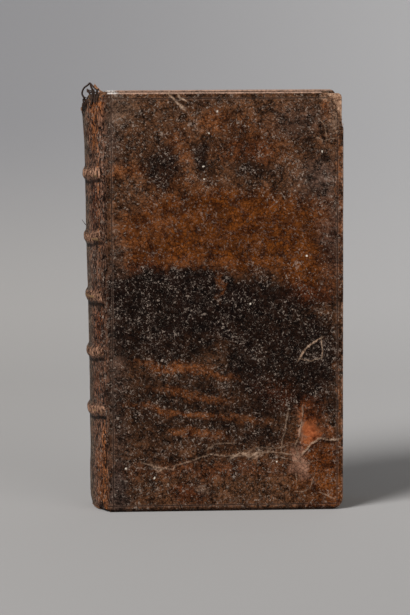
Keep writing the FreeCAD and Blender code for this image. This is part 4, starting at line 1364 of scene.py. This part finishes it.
def makeWornBoard():
    # the laid-open corner of the front board, its layers lifting
    columns = linesAt([(wornBoard["left"], wornBoard["spacing"]), (book["coverWidth"] - wornBoard["inset"], 1)])
    rows = linesAt([(wornBoard["low"], wornBoard["spacing"]), (book["coverHeight"] - wornBoard["inset"], 1)])
    bm, (layerS, layerZ), places = newSheet(columns, rows, ("sheetS", "sheetZ"))
    for v, s, z in places:
        v[layerS], v[layerZ] = roundCorner(s, z, wornBoard["inset"])
        s, z = v[layerS], v[layerZ]
        gap, _ = lineGap(s, z, damage["lostCorner"])
        bared = rise(0.1, 0.9, gap) if inside(s, z, lostOutline) else 0.0
        sheets = 1.6 * (grain(s, 4, z, 3.4, 3) + 0.2) + 1.2
        layers = math.floor(sheets) + rise(0.0, 0.25, sheets - math.floor(sheets))
        raised = wornBoard["layer"] * max(0.0, min(2.0, layers)) * 0.5 + 0.14 * grain(s, 1, z, 0.7, 3)
        lift = 0.05 + bared * raised
        v.co = Vector((book["jointX"] + s, -(wornBoard["face"] + lift), z)) * mm

    def atLeft(v):
        return v.co.x / mm - book["jointX"] < wornBoard["left"] + 0.05

    def atFoot(v):
        return v.co.z / mm < wornBoard["low"] + 0.05

    # the two outer borders alone are drawn back over the board's edge
    edges = [e for e in bm.edges if e.is_boundary and not any(atLeft(v) and atFoot(v) for v in e.verts)
             and not all(atLeft(v) for v in e.verts) and not all(atFoot(v) for v in e.verts)]
    middle = Vector((wornBoard["left"], wornBoard["low"]))
    for depth in wornBoard["steps"]:
        fresh, edges = extrudeEdges(bm, edges)
        for v in fresh:
            s, z = v[layerS], v[layerZ]
            away = (Vector((s, z)) - middle).normalized()
            fray = 0.12 + 0.22 * grain(s, depth * 9, z, 0.9, 3) if inside(s, z, lostOutline) else -0.05
            v.co = Vector((book["jointX"] + s + away.x * fray, -(wornBoard["face"] - depth),
                           z + away.y * fray)) * mm
    faceOutward(bm, lambda f: -f.normal.y)
    piece = makePiece("wornBoardCorner", bm, [pasteboard])
    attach(piece, frontBody)
    print("wornBoardCorner made:", len(piece.data.polygons), "faces")


tornFibres = {"seed": 41, "count": 46, "thick": 0.16, "thin": 0.07}


def makeCornerFibres():
    # short torn fibres along the worn corner
    random.seed(tornFibres["seed"])
    strands = []
    lost = damage["lostCorner"]
    for _ in range(tornFibres["count"]):
        share = random.random() * (len(lost) - 1)
        i = min(int(share), len(lost) - 2)
        s = lost[i][0] + (lost[i + 1][0] - lost[i][0]) * (share - i) + random.uniform(-0.3, 0.3)
        z = lost[i][1] + (lost[i + 1][1] - lost[i][1]) * (share - i) + random.uniform(-0.3, 0.3)
        turn = random.uniform(0.1, 1.3)
        reach = random.uniform(0.5, 1.7)
        start = Vector((book["jointX"] + min(s, 95.2), -17.25, min(z, 169.3)))
        way = Vector((math.cos(turn), 0, math.sin(turn)))
        bend = Vector((0, -random.uniform(0.05, 0.3), random.uniform(-0.3, 0.2)))
        path = [start, start + way * reach * 0.5 + bend, start + way * reach * 0.9 + bend * 1.4]
        strands.append((path, tornFibres["thick"], tornFibres["thin"]))
    piece = makeStrands("cornerFibres", strands, tanShred, 1, 3)
    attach(piece, frontBody)


makeCoverSkin(front, "frontCoverSkin", True, "front_cover_leather")
makeCoverSkin(rear, "rearCoverSkin", False, "rear_cover_leather")
makeSpineSkin()
makeLeaves()
makeShreds("darkShreds", shreds["dark"], darkShred)
makeShreds("tanShreds", shreds["tan"], tanShred)
headThreads = [([headPlace(*p) for p in points], thick, thin) for points, thick, thin in threads]
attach(makeStrands("looseThreads", headThreads, darkShred), spineBody)
makeEndband("headEndbandSilk", 167.95, "head_endband_silk")
makeEndband("tailEndbandSilk", 2.05, "tail_endband_silk")
makeWornBoard()
makeCornerFibres()
print("head, leaves and worn corner made")

# greys of the stage; the changes of grey across the backdrop are painted light and shade
studio = {
    "floorReach": 3.0,
    "backdropAt": 1.5,
    "backdropBend": 1.1,
    "backdropTop": 3.0,
    "floorGrey": (144, 142, 141),
    "wallGrey": (192, 189, 186),
    "highShadeGrey": (167, 166, 168),
    "rightLitGrey": (222, 221, 221),
    "worldStrength": 0.16,
}


def drawOut(bm, edges, step):
    # extrudes edges by a step, and returns the new ones
    fresh, made = extrudeEdges(bm, edges)
    bmesh.ops.translate(bm, vec=step, verts=list(fresh))
    return made


def makeStage():
    # floor and backdrop as one sheet, bent up behind the book
    bm = bmesh.new()
    half, turn = studio["floorReach"], studio["backdropBend"]
    bendStart = studio["backdropAt"] - turn
    edges = [bm.edges.new([bm.verts.new((x, -half, 0)) for x in (-half, half)])]
    edges = drawOut(bm, edges, (0, half + bendStart, 0))
    bmesh.ops.spin(bm, geom=edges + list(edges[0].verts), cent=(0, bendStart, turn), axis=(1, 0, 0),
                   angle=math.pi / 2, steps=16, use_duplicate=False)
    drawOut(bm, [e for e in bm.edges if e.is_boundary and all(abs(v.co.z - turn) < 1e-4 for v in e.verts)],
            (0, 0, studio["backdropTop"]))
    faceOutward(bm, lambda f: f.normal.z)
    material = newMaterial("studioGrey")
    axes = split(objectPlace())
    # painted light and shade: the grey gets lighter towards the back and the right, and darker higher up
    far = stretch(axes[1], -500.0, 600.0, kind="LINEAR")
    tone = toneMix(far, (studio["floorGrey"], studio["wallGrey"]))
    tone = mixColour(stretch(axes[2], 5.0, 130.0), tone, srgb(*studio["highShadeGrey"]))
    tone = mixColour(times(far, stretch(axes[0], -150.0, 470.0)), tone, srgb(*studio["rightLitGrey"]))
    shader, output = finishMaterial(tone, 0.9, specular=0.1)
    # the back of the sheet is clear, so that the book can be seen from behind it
    behind = node("ShaderNodeNewGeometry").outputs["Backfacing"]
    clear = node("ShaderNodeBsdfTransparent").outputs[0]
    feed(output.inputs[0], node("ShaderNodeMixShader", {0: behind, 1: shader.outputs[0], 2: clear}).outputs[0])
    floor = showMesh("studioFloor", meshFrom("studioFloor", bm), [material])


lamps = {
    "key": {"place": (-1.0, -1.0, 1.25), "size": 0.8, "power": 38.0},
    "fill": {"place": (0.9, -1.3, 0.6), "size": 1.4, "power": 7.0},
}


def makeLamp(name, place, size, power):
    data = bpy.data.lights.new(name, "AREA")
    data.shape = "DISK"
    data.size = size
    data.energy = power
    lamp = bpy.data.objects.new(name, data)
    bpy.context.scene.collection.objects.link(lamp)
    lamp.location = place
    lamp.rotation_euler = (Vector((0, 0, 0.08)) - Vector(place)).to_track_quat("-Z", "Y").to_euler()


shot = {
    "target": (-0.0035, -0.0174, 0.0833),
    "distance": 1.15,
    "azimuth": -3.5,
    "elevation": 6.0,
    "roll": -0.2,
    "pixelsPerMm": 2.476,
    "frameHeight": 615,
    "sensor": 36.0,
}


def makeCamera():
    data = bpy.data.cameras.new("camera")
    data.sensor_width = shot["sensor"]
    seen = shot["frameHeight"] / shot["pixelsPerMm"] * mm
    data.lens = shot["sensor"] * shot["distance"] / seen
    camera = bpy.data.objects.new("camera", data)
    bpy.context.scene.collection.objects.link(camera)
    azimuth, elevation = math.radians(shot["azimuth"]), math.radians(shot["elevation"])
    back = Vector((math.sin(azimuth) * math.cos(elevation), -math.cos(azimuth) * math.cos(elevation),
                   math.sin(elevation)))
    camera.location = Vector(shot["target"]) + back * shot["distance"]
    turn = (-back).to_track_quat("-Z", "Y").to_matrix().to_4x4()
    turn = turn @ Matrix.Rotation(math.radians(shot["roll"]), 4, "Z")
    camera.rotation_euler = turn.to_euler()
    bpy.context.scene.camera = camera


makeStage()
for name, lamp in lamps.items():
    makeLamp(name, **lamp)
world = bpy.data.worlds.new("studio")
world.use_nodes = True
sky = world.node_tree.nodes["Background"].inputs
sky[0].default_value = (1.0, 1.0, 1.0, 1.0)
sky[1].default_value = studio["worldStrength"]
bpy.context.scene.world = world
makeCamera()
bpy.context.scene.view_settings.view_transform = "Standard"
print("stage, lamps and camera made")
